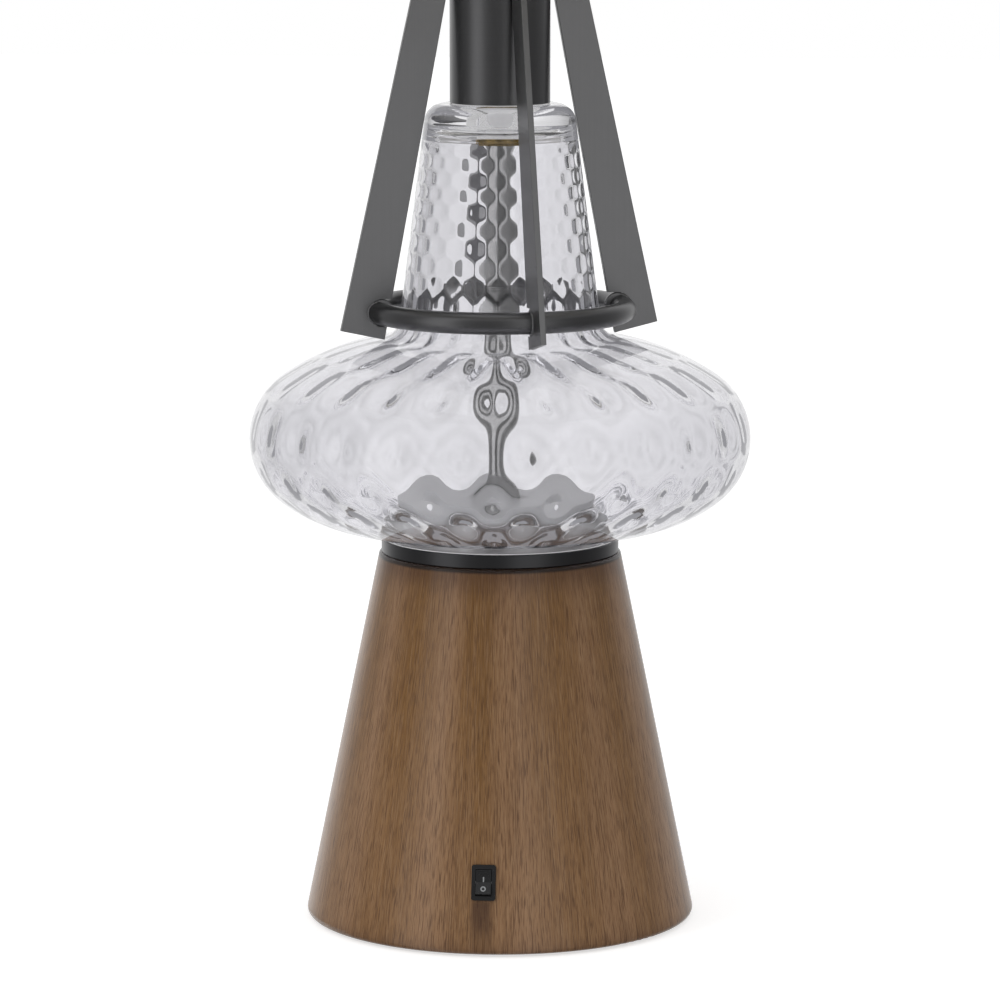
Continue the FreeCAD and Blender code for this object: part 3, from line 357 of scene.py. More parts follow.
def bottleRun(wall):
    # the bottle's side from foot to shoulder, moved in by the wall, as one run of points, and how
    # far in from the outer neck line that puts the neck
    side, upper, lower = (bottle[word] - wall for word in ("sideRound", "upperRound", "lowerRound"))
    centre = np.array([bottle["globeRadius"] - bottle["sideRound"], bottle["globeHeight"]])
    up, down = math.radians(bottle["upperTurn"]), math.radians(bottle["lowerTurn"])
    upperCentre = centre - (upper - side) * np.array([math.cos(up), math.sin(up)])
    lowerCentre = centre - (lower - side) * np.array([math.cos(down), -math.sin(down)])
    neckRadius, neckHeight = bottle["neckLow"]
    slope = bottle["taper"]
    inset = wall * math.hypot(1, slope)
    rootRound, footRound = bottle["neckRound"] + wall, bottle["footRound"] + wall
    neck = tangentBlend(upperCentre, upper, neckRadius - inset, neckHeight, slope, rootRound, 1)
    foot = tangentBlend(lowerCentre, lower, bottle["footRadius"] - wall, bottle["low"], 0.0,
                        footRound, -1)

    def angle(a, b):
        return math.degrees(math.atan2(b[1] - a[1], b[0] - a[0]))

    heel, root = angle(lowerCentre, foot), angle(upperCentre, neck)
    count = bottle["globePoints"]
    runs = [arcRun(foot, footRound, 180.0, heel + 180.0, bottle["footPoints"]),
            arcRun(lowerCentre, lower, heel, -bottle["lowerTurn"], count)[1:],
            arcRun(centre, side, -bottle["lowerTurn"], bottle["upperTurn"], count)[1:],
            arcRun(upperCentre, upper, bottle["upperTurn"], root, count)[1:],
            arcRun(neck, rootRound, root + 180.0, 180.0 + math.degrees(math.atan(slope)),
                   bottle["rootPoints"])[1:]]
    return np.concatenate(runs), inset


def bottleOutside(outer):
    # foot, side, shoulder, top and the hole's wall, all smooth; outer is the side's run
    neckRadius, neckHeight = bottle["neckLow"]
    slope, size, top = bottle["taper"], bottle["shoulder"], bottle["top"]
    centre = (neckRadius - slope * (top - size - neckHeight) - size * math.hypot(1, slope),
              top - size)
    count = bottle["shoulderPoints"]
    shoulder = arcRun(centre, size, math.degrees(math.atan(slope)), 90.0, count)
    return np.concatenate([
        [[bottle["footRadius"], bottle["low"]]], spaced(outer, bottle["outerStep"]),
        lineRun(outer[-1], shoulder[0], count)[1:], shoulder[1:],
        lineRun(shoulder[-1], (bottle["hole"], top), bottle["topPoints"])[1:],
        [[bottle["hole"], bottle["ceiling"]]]])


def opticRelief(t, v, radius, inNeck):
    # how far the optic stands in from the inner wall, at the angle t and row v. With
    # w = (1 - cos(24 t) cos(pi v)) / 2, the globe's wall thickens by
    # size * (exp(-sqrt(w) / spread) - exp(-1 / spread)), so that pointed bosses stand staggered on
    # a diamond lattice; the neck's wall thickens by size * (1 - (d / reach) ** 2), d being the way
    # to the nearest boss, as the soft minimum -soft * log(sum of exp(-d * d / soft)) over the
    # bosses round about
    spread, soft = bottle["bossSpread"], bottle["lensSoft"]
    w = (1 - np.cos(bottle["optic"] * t) * np.cos(math.pi * v)) / 2
    pointed = np.exp(-np.sqrt(w) / spread) - math.exp(-1 / spread)
    column, row = bottle["optic"] * t / fullTurn, np.floor(v)
    pull = np.zeros(w.shape)
    for step in (-1, 0, 1, 2):
        for beside in (-1, 0, 1):
            aside = column - (row + step) % 2 / 2
            aside = (aside - np.round(aside) - beside) * fullTurn / bottle["optic"] * radius
            away = aside ** 2 + ((v - row - step) * bottle["rowStep"]) ** 2
            pull = pull + np.exp(-away / soft)
    lens = 1 + soft * np.log(pull) / bottle["lensReach"] ** 2
    return bottle["globeBoss"] * pointed * (1 - inNeck) + bottle["neckBoss"] * lens * inNeck


def glassBottle(finish):
    # outer side, shoulder and foot are smooth; the inner wall carries the optic as real relief,
    # pushed out along the wall's normal, and fades to nothing at the neck's top and at the foot
    outer, _ = bottleRun(0.0)
    inner, inset = bottleRun(bottle["wall"])
    outside = bottleOutside(outer)
    neckRadius, neckHeight = bottle["neckLow"]
    slope, ceiling, turn = bottle["taper"], bottle["ceiling"], bottle["innerRound"]
    ceilingRadius = neckRadius - inset - slope * (ceiling - neckHeight)
    corner = arcRun((ceilingRadius - turn, ceiling - turn), turn, 90.0,
                    math.degrees(math.atan(slope)), bottle["ceilingPoints"])
    innerTop = [ceilingRadius + slope * turn, ceiling - turn]
    wallRun = np.concatenate([inner, lineRun(inner[-1], innerTop, bottle["neckPoints"])[1:]])[::-1]
    fine = spaced(wallRun, bottle["tracingStep"])
    lengths = wayAlong(fine)
    end = lengths[-1]
    rowPlaces = np.interp(-np.array(opticRows), -fine[:, 1], lengths)
    stops = np.unique(np.concatenate([[0.0], rowPlaces, [end]]))
    places = np.unique(np.concatenate([
        np.linspace(a, b, max(round((b - a) / bottle["innerStep"]), 1) + 1)
        for a, b in zip(stops[:-1], stops[1:])]))
    inside = pointsAt(places, lengths, fine)
    t = evenAngles(bottle["columns"])[None, :]
    v = np.interp(places, rowPlaces, np.arange(len(opticRows)))[:, None]
    inNeck = np.clip((inside[:, 1:2] - bottle["neckFrom"]) / bottle["neckFade"], 0.0, 1.0)
    fade = (np.clip(places / bottle["topFade"], 0.0, 1.0)
            * np.clip((end - places) / bottle["footFade"], 0.0, 1.0))
    relief = fade[:, None] * opticRelief(t, v, inside[:, 0:1], inNeck)
    slopeWay = np.gradient(inside, axis=0)
    normal = np.stack([slopeWay[:, 1], -slopeWay[:, 0]], axis=-1)
    normal = normal / np.linalg.norm(normal, axis=1, keepdims=True)
    innerGrid = spun(inside[:, 0:1] + normal[:, 0:1] * relief, t + math.radians(bottle["opticAt"]),
                     inside[:, 1:2] + normal[:, 1:2] * relief)
    footInner = [(bottle["footRadius"] - bottle["wall"], bottle["low"])]
    smooth = [turnedGrid(run, bottle["columns"], bottle["opticAt"])
              for run in (outside, corner, footInner)]
    grid = np.concatenate([smooth[0], smooth[1], innerGrid, smooth[2]])
    faces = gridFaces(grid.shape[0], bottle["columns"], closedRows=True)
    piece = makePiece("glassBottle", grid, faces, finish)
    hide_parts("glass_body")
    print("glass bottle:", len(faces) * 2, "triangles")


# deepRayGlow is painted light: the grey glow given to rays lost deep in the glass
glassLook = {"colour": (0.885, 0.882, 0.905), "index": 1.47, "shadow": (0.93, 0.93, 0.945),
             "mirrorTurns": 3.5, "turns": 11.5, "deepRayGlow": (0.15, 0.15, 0.16)}


def clearGlass():
    # painted light: a ray that has been turned round in the wall many times glows an even pale
    # grey, in place of the room light it would have reached
    glass = Finish("clearGlass")
    deepRayGlow = glass.ray("Glossy Depth").over(glassLook["mirrorTurns"]).atLeast(
        glass.ray("Ray Depth").over(glassLook["turns"]))
    clear = glass.skin(Base_Color=glassLook["colour"], Roughness=0.0, IOR=glassLook["index"],
                       Transmission_Weight=1.0, Emission_Strength=1.0,
                       Emission_Color=glass.mix(deepRayGlow, black, glassLook["deepRayGlow"]))
    through = glass.node("BsdfTransparent", None, {"Color": glassLook["shadow"]})
    return glass.done(glass.either(glass.ray("Is Shadow Ray"), clear, through))


# metals, wood, rubber and plastics

# how often the scratches repeat in a metre along x, y and z, by the way the metal was brushed
brushing = {"round": (6.0, 6.0, 1500.0), "up": (900.0, 900.0, 14.0)}


def brushedMetal(name, colour, rough, grain=0.06, along="round"):
    # fine scratches: noise stretched along the brushing, in brightness, roughness and bump
    metal = Finish(name)
    stretched = [part * often for part, often in zip(metal.parts(metal.place()), brushing[along])]
    lines = metal.noise(metal.joined(*stretched), 1.0, 3.0, 0.6)
    cloud = metal.noise(metal.place(), 30.0, 3.0, 0.6)
    tone = 1.0 - grain + lines * grain * 2.0
    dark = tuple(c * 0.86 for c in colour)
    return metal.done(metal.skin(
        Base_Color=metal.mix(lines * 0.7 + cloud * 0.3, dark, colour), Metallic=1.0,
        Roughness=rough * tone + (cloud - 0.5) * 0.08, Normal=metal.bump(lines, 0.05, 0.0002)))


# colours of the wood: its dark and light bands, the foot painted lighter as painted light, and what
# is drawn over them, among them a painted shadow line under the collar and a painted grey for wood
# seen through the glass
woodColoursAndPaintedLight = {"dark": (0.215, 0.096, 0.014), "light": (0.350, 0.195, 0.098),
         "foot": (0.440, 0.250, 0.130), "streak": (0.150, 0.066, 0.018),
         "fine": (0.430, 0.262, 0.140), "pore": (0.080, 0.030, 0.010),
         "fleck": (0.105, 0.042, 0.016), "rim": (0.070, 0.026, 0.013),
         # the near-black entry at the end of the next line is painted shade: the dark line under
         # the collar
         "underSwitch": (0.060, 0.026, 0.016), "collarGapShade": (0.012, 0.006, 0.004),
         # painted: the grey that wood seen through the glass is turned to
         "throughGlass": (0.10, 0.10, 0.105)}
# heights in metres: where the foot's painted light ends, where the rims' darkening begins and ends,
# the painted shadow line at the top under the collar, and the dark strip from the floor up to the
# switch
woodHeights = {"foot": (0.010, 0.130), "topRim": (0.146, 0.1605), "lowRim": (0.000, 0.009),
               "collarGapShade": (0.1588, 0.1600), "underSwitch": (-0.004, 0.020),
               "switchFoot": (0.022, 0.026)}
bandCount, bandShift, bandWander = 12.0, 0.94, 3.4


def walnut():
    # grain runs up the cone: noise on (x, y) / r with the height squeezed, so the lines close round
    # the back; streaks, fine lines, short dark pores and flecks are four scales of it. The broad
    # bands are a sine of 12 times the angle round the axis, shifted by a slow noise
    wood = Finish("walnut")
    x, y, z = wood.parts(wood.place())
    r = (x * x + y * y) ** 0.5
    drift = wood.noise(wood.joined(x / r, y / r, z * 9.0), 1.8)

    def lines(across, up, detail):
        return wood.noise(wood.joined(x / r * across + drift * 0.6, y / r * across, z * up), 1.0,
                          detail, 0.55)

    def below(word):
        return 1.0 - z.ramp(*woodHeights[word])

    def above(word):
        return z.ramp(*woodHeights[word])

    wander = (lines(2.4, 3.0, 1.0) - 0.5) * bandWander
    angle = x.turnFrom(0.0 - y)
    bands = (angle * bandCount - bandShift + wander).wave() * 0.5 + 0.5
    streaks, fine = lines(26.0, 12.0, 3.0), lines(170.0, 60.0, 2.0)
    pores, flecks = lines(210.0, 110.0, 1.5), lines(360.0, 200.0, 1.0)
    # the wood is darker along the top and bottom rims, and in a strip on the front below the
    # switch, 5 mm wide with soft edges, with its middle 1 mm left of the cone's
    rims = above("topRim") + below("lowRim") * 0.7
    near = (1.0 - ((x + 0.001).size() - 0.0025).ramp(0.0, 0.0035)) * (1.0 - y.ramp(-0.05, -0.04))
    underSwitch = near * below("switchFoot") * above("underSwitch")
    colour = wood.mix(bands * 0.8 + lines(7.0, 4.0, 2.0).ramp(0.35, 0.65) * 0.2, woodColoursAndPaintedLight["dark"],
                      woodColoursAndPaintedLight["light"])
    # each is drawn over those before it. The last is painted light: the wood turns grey where it is
    # seen through the glass, standing in for the look of the thick glass foot
    # painted light: the first layer makes the wood lighter towards the floor, fading out between 1
    # and 13 cm up
    layers = [("foot", below("foot") * 0.35),
              ("streak", streaks.ramp(0.40, 0.72) * 0.34),
              ("fine", fine.ramp(0.40, 0.72) * 0.50),
              ("pore", pores.ramp(0.52, 0.64) * 0.62),
              ("fleck", flecks.ramp(0.50, 0.68) * 0.42),
              ("rim", rims * 0.55 * (0.7 + streaks * 0.6)),
              ("underSwitch", underSwitch * 0.72),
              # painted shade: a thin dark line along the wood's top, under the collar's edge
              ("collarGapShade", above("collarGapShade") * 0.9),
              # painted: grey for wood that rays reach through the glass
              ("throughGlass", wood.ray("Is Transmission Ray") * 0.75)]
    for word, share in layers:
        colour = wood.mix(share, colour, woodColoursAndPaintedLight[word])
    return wood.done(wood.skin(
        Base_Color=colour, Roughness=0.5 + fine * 0.08, Specular_IOR_Level=0.2, Coat_Weight=0.6,
        Coat_Roughness=0.12, Normal=wood.bump(fine * 0.4 + (1.0 - pores) * 0.6, 0.14, 0.0003)))


def moulded(name, colour, rough, grain=0.25, glow=0.0):
    # fine spark-eroded texture: small even noise in bump and a little in the roughness; glow stands
    # for light that clear parts pipe in from the sides
    plastic = Finish(name)
    speck = plastic.noise(plastic.place(), 2600.0)
    cloud = plastic.noise(plastic.place(), 60.0)
    body = plastic.mix(cloud * 0.5, colour, tuple(c * 1.25 for c in colour))
    return plastic.done(plastic.skin(
        Base_Color=body, Roughness=rough + (speck - 0.5) * 0.1, Emission_Color=(glow, glow, glow),
        Emission_Strength=1.0, Normal=plastic.bump(speck, grain, 0.0001)))


def frosted():
    # etched white glass: even, with a faint cloud
    bulb = Finish("frostedGlass")
    cloud = bulb.noise(bulb.place(), 40.0)
    body = bulb.mix(cloud, (0.80, 0.80, 0.78), (0.86, 0.86, 0.85))
    return bulb.done(bulb.skin(Base_Color=body, Roughness=0.35 + cloud * 0.1, Coat_Weight=0.3))


# how often the threads repeat in a metre across and along the cloth, and where each noise starts
threads = {"warp": (1500.0, 60.0, 0.0), "weft": (45.0, 1500.0, 7.0), "slubs": (16.0, 700.0, 3.0),
           "upright": (700.0, 18.0, 5.0)}


def linen(name, low, high, relief):
    # plain weave on the piece's own map: long thin noise both ways, and thicker slubs now and then
    cloth = Finish(name)
    across, along, _ = cloth.parts(cloth.node("UVMap", {"uv_map": "weave"}))
    warp, weft, slubs, upright = [
        cloth.noise(cloth.joined(across * wide, along * tall, start), 1.0, 2.0, 0.6)
        for wide, tall, start in threads.values()]
    tone = (warp.ramp(0.3, 0.7) + weft.ramp(0.3, 0.7)) * 0.36 + (slubs + upright) * 0.28
    body = cloth.mix(tone, low, high)
    body = cloth.mix((slubs.ramp(0.62, 0.78) + upright.ramp(0.66, 0.8)) * 0.35, body,
                     tuple(c * 0.82 for c in low))
    return cloth.done(cloth.skin(
        Base_Color=body, Roughness=0.86 - tone * 0.08, Sheen_Weight=0.25, Sheen_Roughness=0.5,
        Normal=cloth.bump(warp + weft + slubs * 0.8, relief, 0.0005)))


finishes = {
    "walnut": walnut(),
    "cast_iron": moulded("castIron", (0.06, 0.06, 0.065), 0.7, 0.8),
    "zinc_steel": brushedMetal("zincSteel", (0.40, 0.40, 0.405), 0.38),
    "pad_grey": moulded("padGrey", (0.76, 0.76, 0.765), 0.42, 0.1),
    "black_steel": brushedMetal("blackSteel", (0.255, 0.255, 0.26), 0.40, along="up"),
    # the next two are darker copies of the black steel, painted shade; the round one is also
    # brushed round and a little smoother
    "black_round": brushedMetal("blackRoundShaded", (0.145, 0.145, 0.149), 0.32),
    "black_collar": brushedMetal("blackCollarShaded", (0.070, 0.070, 0.073), 0.30),
    "polished": brushedMetal("polishedNickel", (0.58, 0.58, 0.57), 0.10, 0.02),
    "black_plastic": moulded("blackPlastic", (0.012, 0.012, 0.013), 0.38),
    "black_rubber": moulded("blackRubber", (0.02, 0.02, 0.02), 0.8),
    "nickel": brushedMetal("satinNickel", (0.56, 0.55, 0.54), 0.36),
    "brass": brushedMetal("brass", (0.36, 0.25, 0.085), 0.26, 0.3),
    "lead_jacket": moulded("leadJacket", (0.03, 0.03, 0.03), 0.5),
    "wire_white": moulded("wireWhite", (0.74, 0.72, 0.68), 0.35),
    "porcelain": moulded("porcelain", (0.72, 0.70, 0.66), 0.2, 0.05),
    "clear_glass": clearGlass(),
    "frosted_glass": frosted(),
    "linen": linen("linen", (0.74, 0.70, 0.625), (0.87, 0.845, 0.79), 0.5),
    "hem": linen("hemTape", (0.70, 0.66, 0.585), (0.83, 0.80, 0.745), 0.35),
    "lining": moulded("shadeLining", (0.80, 0.79, 0.76), 0.55),
    # the sleeve and seals glow a little: painted light
    "nylon": moulded("sleeveNylonGlowing", (0.60, 0.60, 0.60), 0.5, 0.25, 0.28),
    "mark": moulded("printWhite", (0.36, 0.37, 0.38), 0.6),
}

# a node takes the finish of its slot in the record, apart from those given here: the ring, neck
# tube and collar take the darker copies of the black steel, painted shade, and the stem and seals
# other finishes
finishOf = {row["node"]: row["material_slot"] for row in frame["record"]["subparts"]}
finishOf.update({"cage_ring": "black_round", "neck_tube": "black_round",
                 "base_collar": "black_collar", "stem_tube": "polished", "neck_seal": "nylon",
                 "glass_top_seal": "nylon", "glass_foot_seal": "nylon"})
for node, thing in frame["nodes"].items():
    thing.data.materials.clear()
    thing.data.materials.append(finishes[finishOf[node]])
print("materials on", len(frame["nodes"]), "nodes")

glassBottle(finishes["clear_glass"])


# inside the bottle

seat = {"hole": 6.7, "out": 44.9, "low": 173.32, "high": 184.0, "round": 1.2, "edge": 0.3,
        "holeEdge": 0.4, "flatStart": 3.0, "rimPoints": 6, "flatPoints": 5, "columns": 144}


def seatPad(finish):
    # pad plate on the seat disc inside the bottle: flat, with its outer top rim rounded and a
    # narrow bevel on the others
    low, high, out, hole = (seat[word] for word in ("low", "high", "out", "hole"))
    size, edge, flat = seat["round"], seat["edge"], seat["holeEdge"]
    profile = np.concatenate([
        [(hole, low), (out - edge, low), (out, low + edge)],
        arcRun((out - size, high - size), size, 0.0, 90.0, seat["rimPoints"]),
        lineRun((out - size - seat["flatStart"], high), (hole + flat, high), seat["flatPoints"]),
        [(hole, high - flat)]])
    makePiece("seatPad", turnedGrid(profile, seat["columns"]),
              gridFaces(len(profile), seat["columns"], closedRows=True), finish)


sleeve = {"in": 5.25, "out": 6.85, "low": 344.7, "high": 355.3, "edge": 0.3, "columns": 72}


def holeSleeve(finish):
    # pale sleeve that lines the hole in the glass round the rod, with a bevel on every rim
    low, high, out, inner = (sleeve[word] for word in ("low", "high", "out", "in"))
    edge = sleeve["edge"]
    profile = [(inner + edge, low), (out - edge, low), (out, low + edge), (out, high - edge),
               (out - edge, high), (inner + edge, high), (inner, high - edge), (inner, low + edge)]
    makePiece("holeSleeve", turnedGrid(profile, sleeve["columns"]),
              gridFaces(len(profile), sleeve["columns"], closedRows=True), finish)


seatPad(finishes["pad_grey"])
holeSleeve(finishes["nylon"])

# shade

shadeCut = {"lowRadius": 190.0, "topRadius": 165.0, "low": 430.0, "high": 668.0, "columns": 240,
            "rows": 24, "lap": 0.010, "waveThree": 0.0004, "waveEleven": 0.0002,
            "cloth": 0.5, "clothIn": 0.2, "lining": 0.7, "liningIn": 0.4, "liningGap": 0.02,
            "hem": 9.5, "hemLift": 0.45, "hemIn": 0.6, "hemTuck": 0.05, "hemSquash": 0.75,
            "hemEdge": 0.25, "hemCore": 0.3, "hemPoints": 9, "seamAt": 82.0, "seamWidth": 9.0,
            "seamProud": 0.32, "seamSunk": 0.1, "seamIn": 0.5, "seamRows": 30, "seamColumns": 7}


def shadeRadius(z):
    # the drum's radius goes evenly from the one at its low rim to the one at its high rim
    share = (z - shadeCut["low"]) / (shadeCut["high"] - shadeCut["low"])
    return shadeCut["lowRadius"] * (1 - share) + shadeCut["topRadius"] * share


def roundShell(name, profile, finish):
    # a closed profile (r, z) carried round the axis, its radius swelling by a few parts in ten
    # thousand as sines of 3 t and 11 t; its map is (r t, length along the profile)
    columns = shadeCut["columns"] + 1
    profile = np.asarray(profile, dtype=float)
    t = np.linspace(0.0, fullTurn, columns) + math.radians(shadeCut["seamAt"])
    wave = (1 + shadeCut["waveThree"] * np.sin(3 * t + 0.4)
            + shadeCut["waveEleven"] * np.sin(11 * t))
    uv = np.stack(np.broadcast_arrays(profile[:, 0].mean() * t * mm,
                                      wayAlong(profile)[:, None] * mm), axis=-1)
    return makePiece(name, spun(profile[:, 0:1] * wave, t, profile[:, 1:2]),
                     gridFaces(len(profile), columns, closedRows=True, closedColumns=False),
                     finish, "shade", uv)


def shadeShell(name, outer, inner, short, finish):
    # one wall of the drum between two offsets in from its outside, short of both of its rims
    z = np.linspace(shadeCut["low"] + short, shadeCut["high"] - short, shadeCut["rows"])
    out, back = [np.stack([shadeRadius(z) - inset, z], axis=-1) for inset in (outer, inner)]
    return roundShell(name, np.concatenate([out, back[::-1]]), finish)


def hemTape(name, edge, way, finish):
    # folded tape round one rim: outside flap, rounded turn, inside flap, and back along the cloth;
    # way is 1 where the cloth goes up from the rim, -1 where it goes down
    wall, lift, wide = shadeCut["cloth"] + shadeCut["lining"], shadeCut["hemLift"], shadeCut["hem"]
    tuck, gap = shadeCut["hemTuck"], shadeCut["liningGap"]
    radius = wall / 2 + lift
    z = np.array([wide, wide - shadeCut["hemEdge"], wide / 2, 0.0])
    out = np.stack([0 * z + lift, z], axis=-1)
    back = np.stack([0 * z - wall - lift, z], axis=-1)[::-1]
    out[0, 0], back[-1, 0] = tuck, -wall - tuck
    bend = arcRun((-wall / 2, 0.0), radius, 0.0, -180.0, shadeCut["hemPoints"])[1:-1]
    bend = bend * (1.0, shadeCut["hemSquash"])
    top = wide - shadeCut["hemCore"]
    core = np.array([[-wall - gap, top], [-wall - gap, tuck], [0.0, tuck], [gap, top]])
    run = np.concatenate([out, bend, back, core])
    height = edge + way * run[:, 1]
    return roundShell(name, np.stack([shadeRadius(height) + run[:, 0], height], axis=-1), finish)


def shadeSeam(finish):
    # where the cloth laps itself: a strip up the back of the drum that rises a little proud of it
    # from both sides, within a twelfth of its width
    rows, columns, wide = (shadeCut[word] for word in ("seamRows", "seamColumns", "seamWidth"))
    z = np.linspace(shadeCut["low"] + shadeCut["seamIn"], shadeCut["high"] - shadeCut["seamIn"],
                    rows)[:, None]
    side = np.linspace(-0.5, 0.5, columns)[None, :] * wide
    t = math.radians(shadeCut["seamAt"]) + side / shadeRadius(z)
    proud = shadeCut["seamProud"] * np.clip((0.5 - np.abs(side) / wide) * 12, 0, 1)
    front, back = [spun(shadeRadius(z) + up, t, z) for up in (proud, -shadeCut["seamSunk"])]
    uv = np.stack(np.broadcast_arrays(
        np.concatenate([side, side[:, ::-1]], axis=1) * mm + 0.3, z * mm), axis=-1)
    return makePiece("shadeSeam", np.concatenate([front, back[:, ::-1]], axis=1),
                     gridFaces(rows, 2 * columns).tolist() + endFaces(rows, 2 * columns), finish,
                     "shade", uv)


def lampShade():
    low, high, thick = shadeCut["low"], shadeCut["high"], shadeCut["cloth"]
    cloth = shadeShell("shadeLinen", 0.0, thick, shadeCut["clothIn"], finishes["linen"])
    lining = shadeShell("shadeLining", thick + shadeCut["liningGap"], thick + shadeCut["lining"],
                        shadeCut["liningIn"], finishes["lining"])
    hems = [hemTape("shadeHemLow", low + shadeCut["hemIn"], 1, finishes["hem"]),
            hemTape("shadeHemTop", high - shadeCut["hemIn"], -1, finishes["hem"])]
    seam = shadeSeam(finishes["linen"])
    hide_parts("shade_cover")
    # the cut is a ring sector, worked out from the drum's two radii and its slant
    wideRadius, narrowing = shadeCut["lowRadius"], shadeCut["lowRadius"] - shadeCut["topRadius"]
    slant = math.hypot(high - low, narrowing) * mm
    far = slant * wideRadius / narrowing
    spread = (fullTurn * wideRadius * mm + shadeCut["lap"]) / far
    area = (far ** 2 - (far - slant) ** 2) * spread / 2
    flat = (2 * far * math.sin(spread / 2), far - (far - slant) * math.cos(spread / 2))
    print("shade cloth: %.3f x %.3f m flat, %.3f square metres" % (*flat, area))


lampShade()

# rocker marks and grip

rocker = {"pivot": (0.0, -79.095, 31.44), "face": (85.1 - 52.4) / 160.3, "crown": 1.2,
          "slope": 10.0, "press": 10.0, "lift": 0.07, "barAt": 1.15, "barHalf": 0.80,
          "barRadius": 0.27, "ringAt": -2.95, "ringRadius": 0.90, "ringLine": 0.28,
          "ringColumns": 48, "ringRows": 8, "ribs": (2.9, 3.5, 4.1, 4.7), "ribHalf": 2.2,
          "ribRadius": 0.17, "ribLift": 0.16, "barColumns": 24}


def onRocker(x, along, lift):
    # a place on the rocker's face: along it from its middle line, and away from its pin by the
    # crown plus the slope times that way, plus the lift; turned by the press, as it rests with its
    # upper half pressed in, and by the lean of the wood
    tilt = math.atan(rocker["face"])
    press, slope = math.radians(rocker["press"]), math.tan(math.radians(rocker["slope"]))
    outY, outZ, upY, upZ = -math.cos(tilt), math.sin(tilt), math.sin(tilt), math.cos(tilt)
    away = rocker["crown"] + np.abs(along) * slope + lift
    u = along * math.cos(press) + away * math.sin(press)
    n = away * math.cos(press) - along * math.sin(press)
    _, pivotY, pivotZ = rocker["pivot"]
    return np.stack(np.broadcast_arrays(x, pivotY + upY * u + outY * n,
                                        pivotZ + upZ * u + outZ * n), axis=-1)


def roundBar(name, at, half, radius, lift, upright, finish):
    # a long round-ended bar that swells from the face: its outline shrinks as its height grows
    a = evenAngles(rocker["barColumns"], 0.5)
    rows = np.array([[1.0, -0.1], [1.0, 0.6], [0.7, 0.95], [0.0, 1.0]])
    long = np.sign(np.cos(a)) * half + radius * rows[:, 0:1] * np.cos(a)
    wide = radius * rows[:, 0:1] * np.sin(a)
    x, along = (wide, long) if upright else (long, wide)
    makePiece(name, onRocker(x, at + along, lift * rows[:, 1:2]),
              gridFaces(len(rows), len(a)).tolist() + endFaces(len(rows), len(a), last=False),
              finish, "rocker")


def rockerMarks():
    lift = rocker["lift"]
    roundBar("markOn", rocker["barAt"], rocker["barHalf"], rocker["barRadius"], lift, True,
             finishes["mark"])
    a = evenAngles(rocker["ringColumns"])[None, :]
    b = evenAngles(rocker["ringRows"])[:, None]
    r = rocker["ringRadius"] + rocker["ringLine"] * np.cos(b)
    makePiece("markOff", onRocker(r * np.cos(a), rocker["ringAt"] + r * np.sin(a),
                                  lift * np.sin(b)),
              gridFaces(rocker["ringRows"], rocker["ringColumns"], closedRows=True),
              finishes["mark"], "rocker")
    for number, at in enumerate(rocker["ribs"]):
        roundBar("rockerRib%d" % (number + 1), at, rocker["ribHalf"], rocker["ribRadius"],
                 rocker["ribLift"], False, finishes["black_plastic"])
    print("rocker marks and ribs made")


rockerMarks()

# welds between ring and bars

weld = {"ring": 54.0, "height": 266.5, "wire": 4.75, "bead": 0.5, "barHalf": 1.3, "reach": 96.0,
        "ripples": 15, "ripple": 0.16, "taper": 6, "rows": 73, "columns": 10,
        "bars": (-70.0, 20.0, 110.0, 200.0), "slotCentre": 52.75, "slotRadius": 5.95,
        "slotColumns": 36, "fill": 0.85}
# the fill of a slot from its middle out and back: (share of its radius, share of its thickness)
slotFill = np.array([(0.0, 1.0), (0.5, 1.0), (0.85, 0.95), (1.0, 0.8), (1.0, -0.8), (0.85, -0.95),
                     (0.5, -1.0), (0.0, -1.0)])


def onBar(turn, out, beside, rise):
    # out from the lamp's axis, beside the middle plane of the bar at that turn, and above the ring
    c, d = math.cos(math.radians(turn)), math.sin(math.radians(turn))
    return np.stack(np.broadcast_arrays(out * c - beside * d, out * d + beside * c,
                                        weld["height"] + rise), axis=-1)


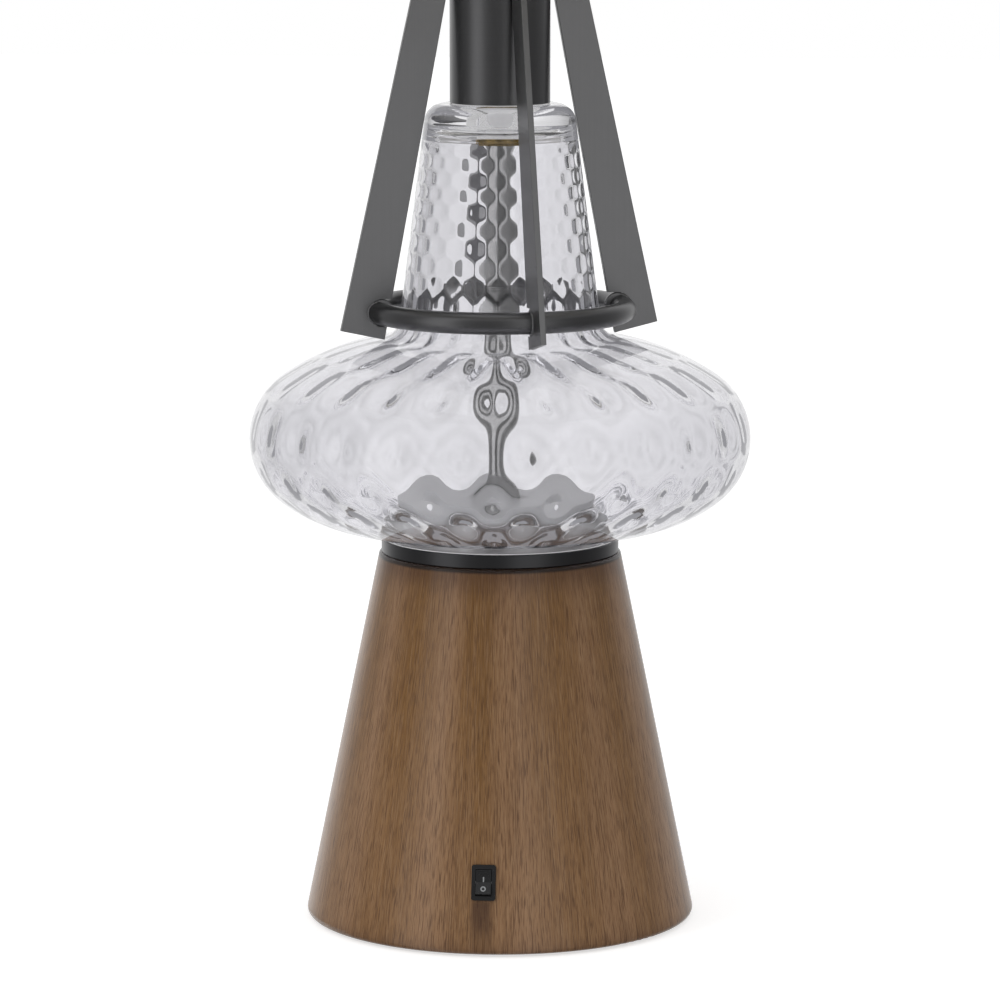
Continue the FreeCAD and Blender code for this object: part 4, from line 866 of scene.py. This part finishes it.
def weldBeads(finish):
    # a small bead bent round the wire where it enters each bar's face: it thins to nothing at its
    # ends as the square root of 1 - share ** 6, share being the way there from its middle, times
    # 1 + ripple * sin(15 a), the ripples of a hand-laid weld. The slot above and below the wire is
    # run full of weld, a flat disc that thins to its edge
    rows, columns, reach = weld["rows"], weld["columns"], math.radians(weld["reach"])
    a = np.linspace(-reach, reach, rows)[:, None]
    b = evenAngles(columns)[None, :]
    bead = (weld["bead"] * np.sqrt(np.clip(1 - np.abs(a / reach) ** weld["taper"], 0.0, 1.0))
            * (1 + weld["ripple"] * np.sin(weld["ripples"] * a)))
    away = weld["wire"] + bead * np.cos(b)
    discAngles = evenAngles(weld["slotColumns"])[None, :]
    rho = slotFill[:, 0:1] * weld["slotRadius"]
    for number, turn in enumerate(weld["bars"]):
        for way, letter in ((-1, "A"), (1, "B")):
            beside = way * (weld["barHalf"] + bead * np.sin(b))
            makePiece("weldBead%d%s" % (number + 1, letter),
                      onBar(turn, weld["ring"] + away * np.cos(a), beside, away * np.sin(a)),
                      gridFaces(rows, columns).tolist() + endFaces(rows, columns), finish)
        makePiece("slotWeld%d" % (number + 1),
                  onBar(turn, weld["slotCentre"] + rho * np.cos(discAngles),
                        slotFill[:, 1:2] * weld["fill"], rho * np.sin(discAngles)),
                  gridFaces(len(slotFill), weld["slotColumns"]), finish)
    print("weld beads made")


weldBeads(finishes["black_steel"])

# floor

floorLook = {"paint": (0.80, 0.80, 0.80), "glow": 0.62, "half": 6.0}


def studioFloor():
    # pale floor that reads as white to the camera and keeps the lamp's soft shadow; metal and glass
    # look through it to the room's panels, and so does a camera below it
    floor = Finish("floorPaint")
    matt = floor.node("BsdfDiffuse", None, {"Color": floorLook["paint"]})
    extra = floor.either(floor.ray("Is Camera Ray"), floor.shine("Emission", black, 0.0),
                         floor.shine("Emission", white, floorLook["glow"]))
    paint = floor.node("AddShader", None, {0: matt, 1: extra})
    through = floor.ray("Is Glossy Ray").atLeast(floor.ray("Is Transmission Ray")).atLeast(
        floor.node("NewGeometry", out="Backfacing"))
    clear = floor.node("BsdfTransparent", None, {"Color": white})
    mesh = bpy.data.meshes.new("studioFloor")
    half = floorLook["half"]
    mesh.from_pydata([(-half, -half, 0), (half, -half, 0), (half, half, 0), (-half, half, 0)], [],
                     [(0, 1, 2, 3)])
    mesh.materials.append(floor.done(floor.either(through, paint, clear)))
    plane = bpy.data.objects.new("studioFloor", mesh)
    bpy.context.scene.collection.objects.link(plane)


studioFloor()
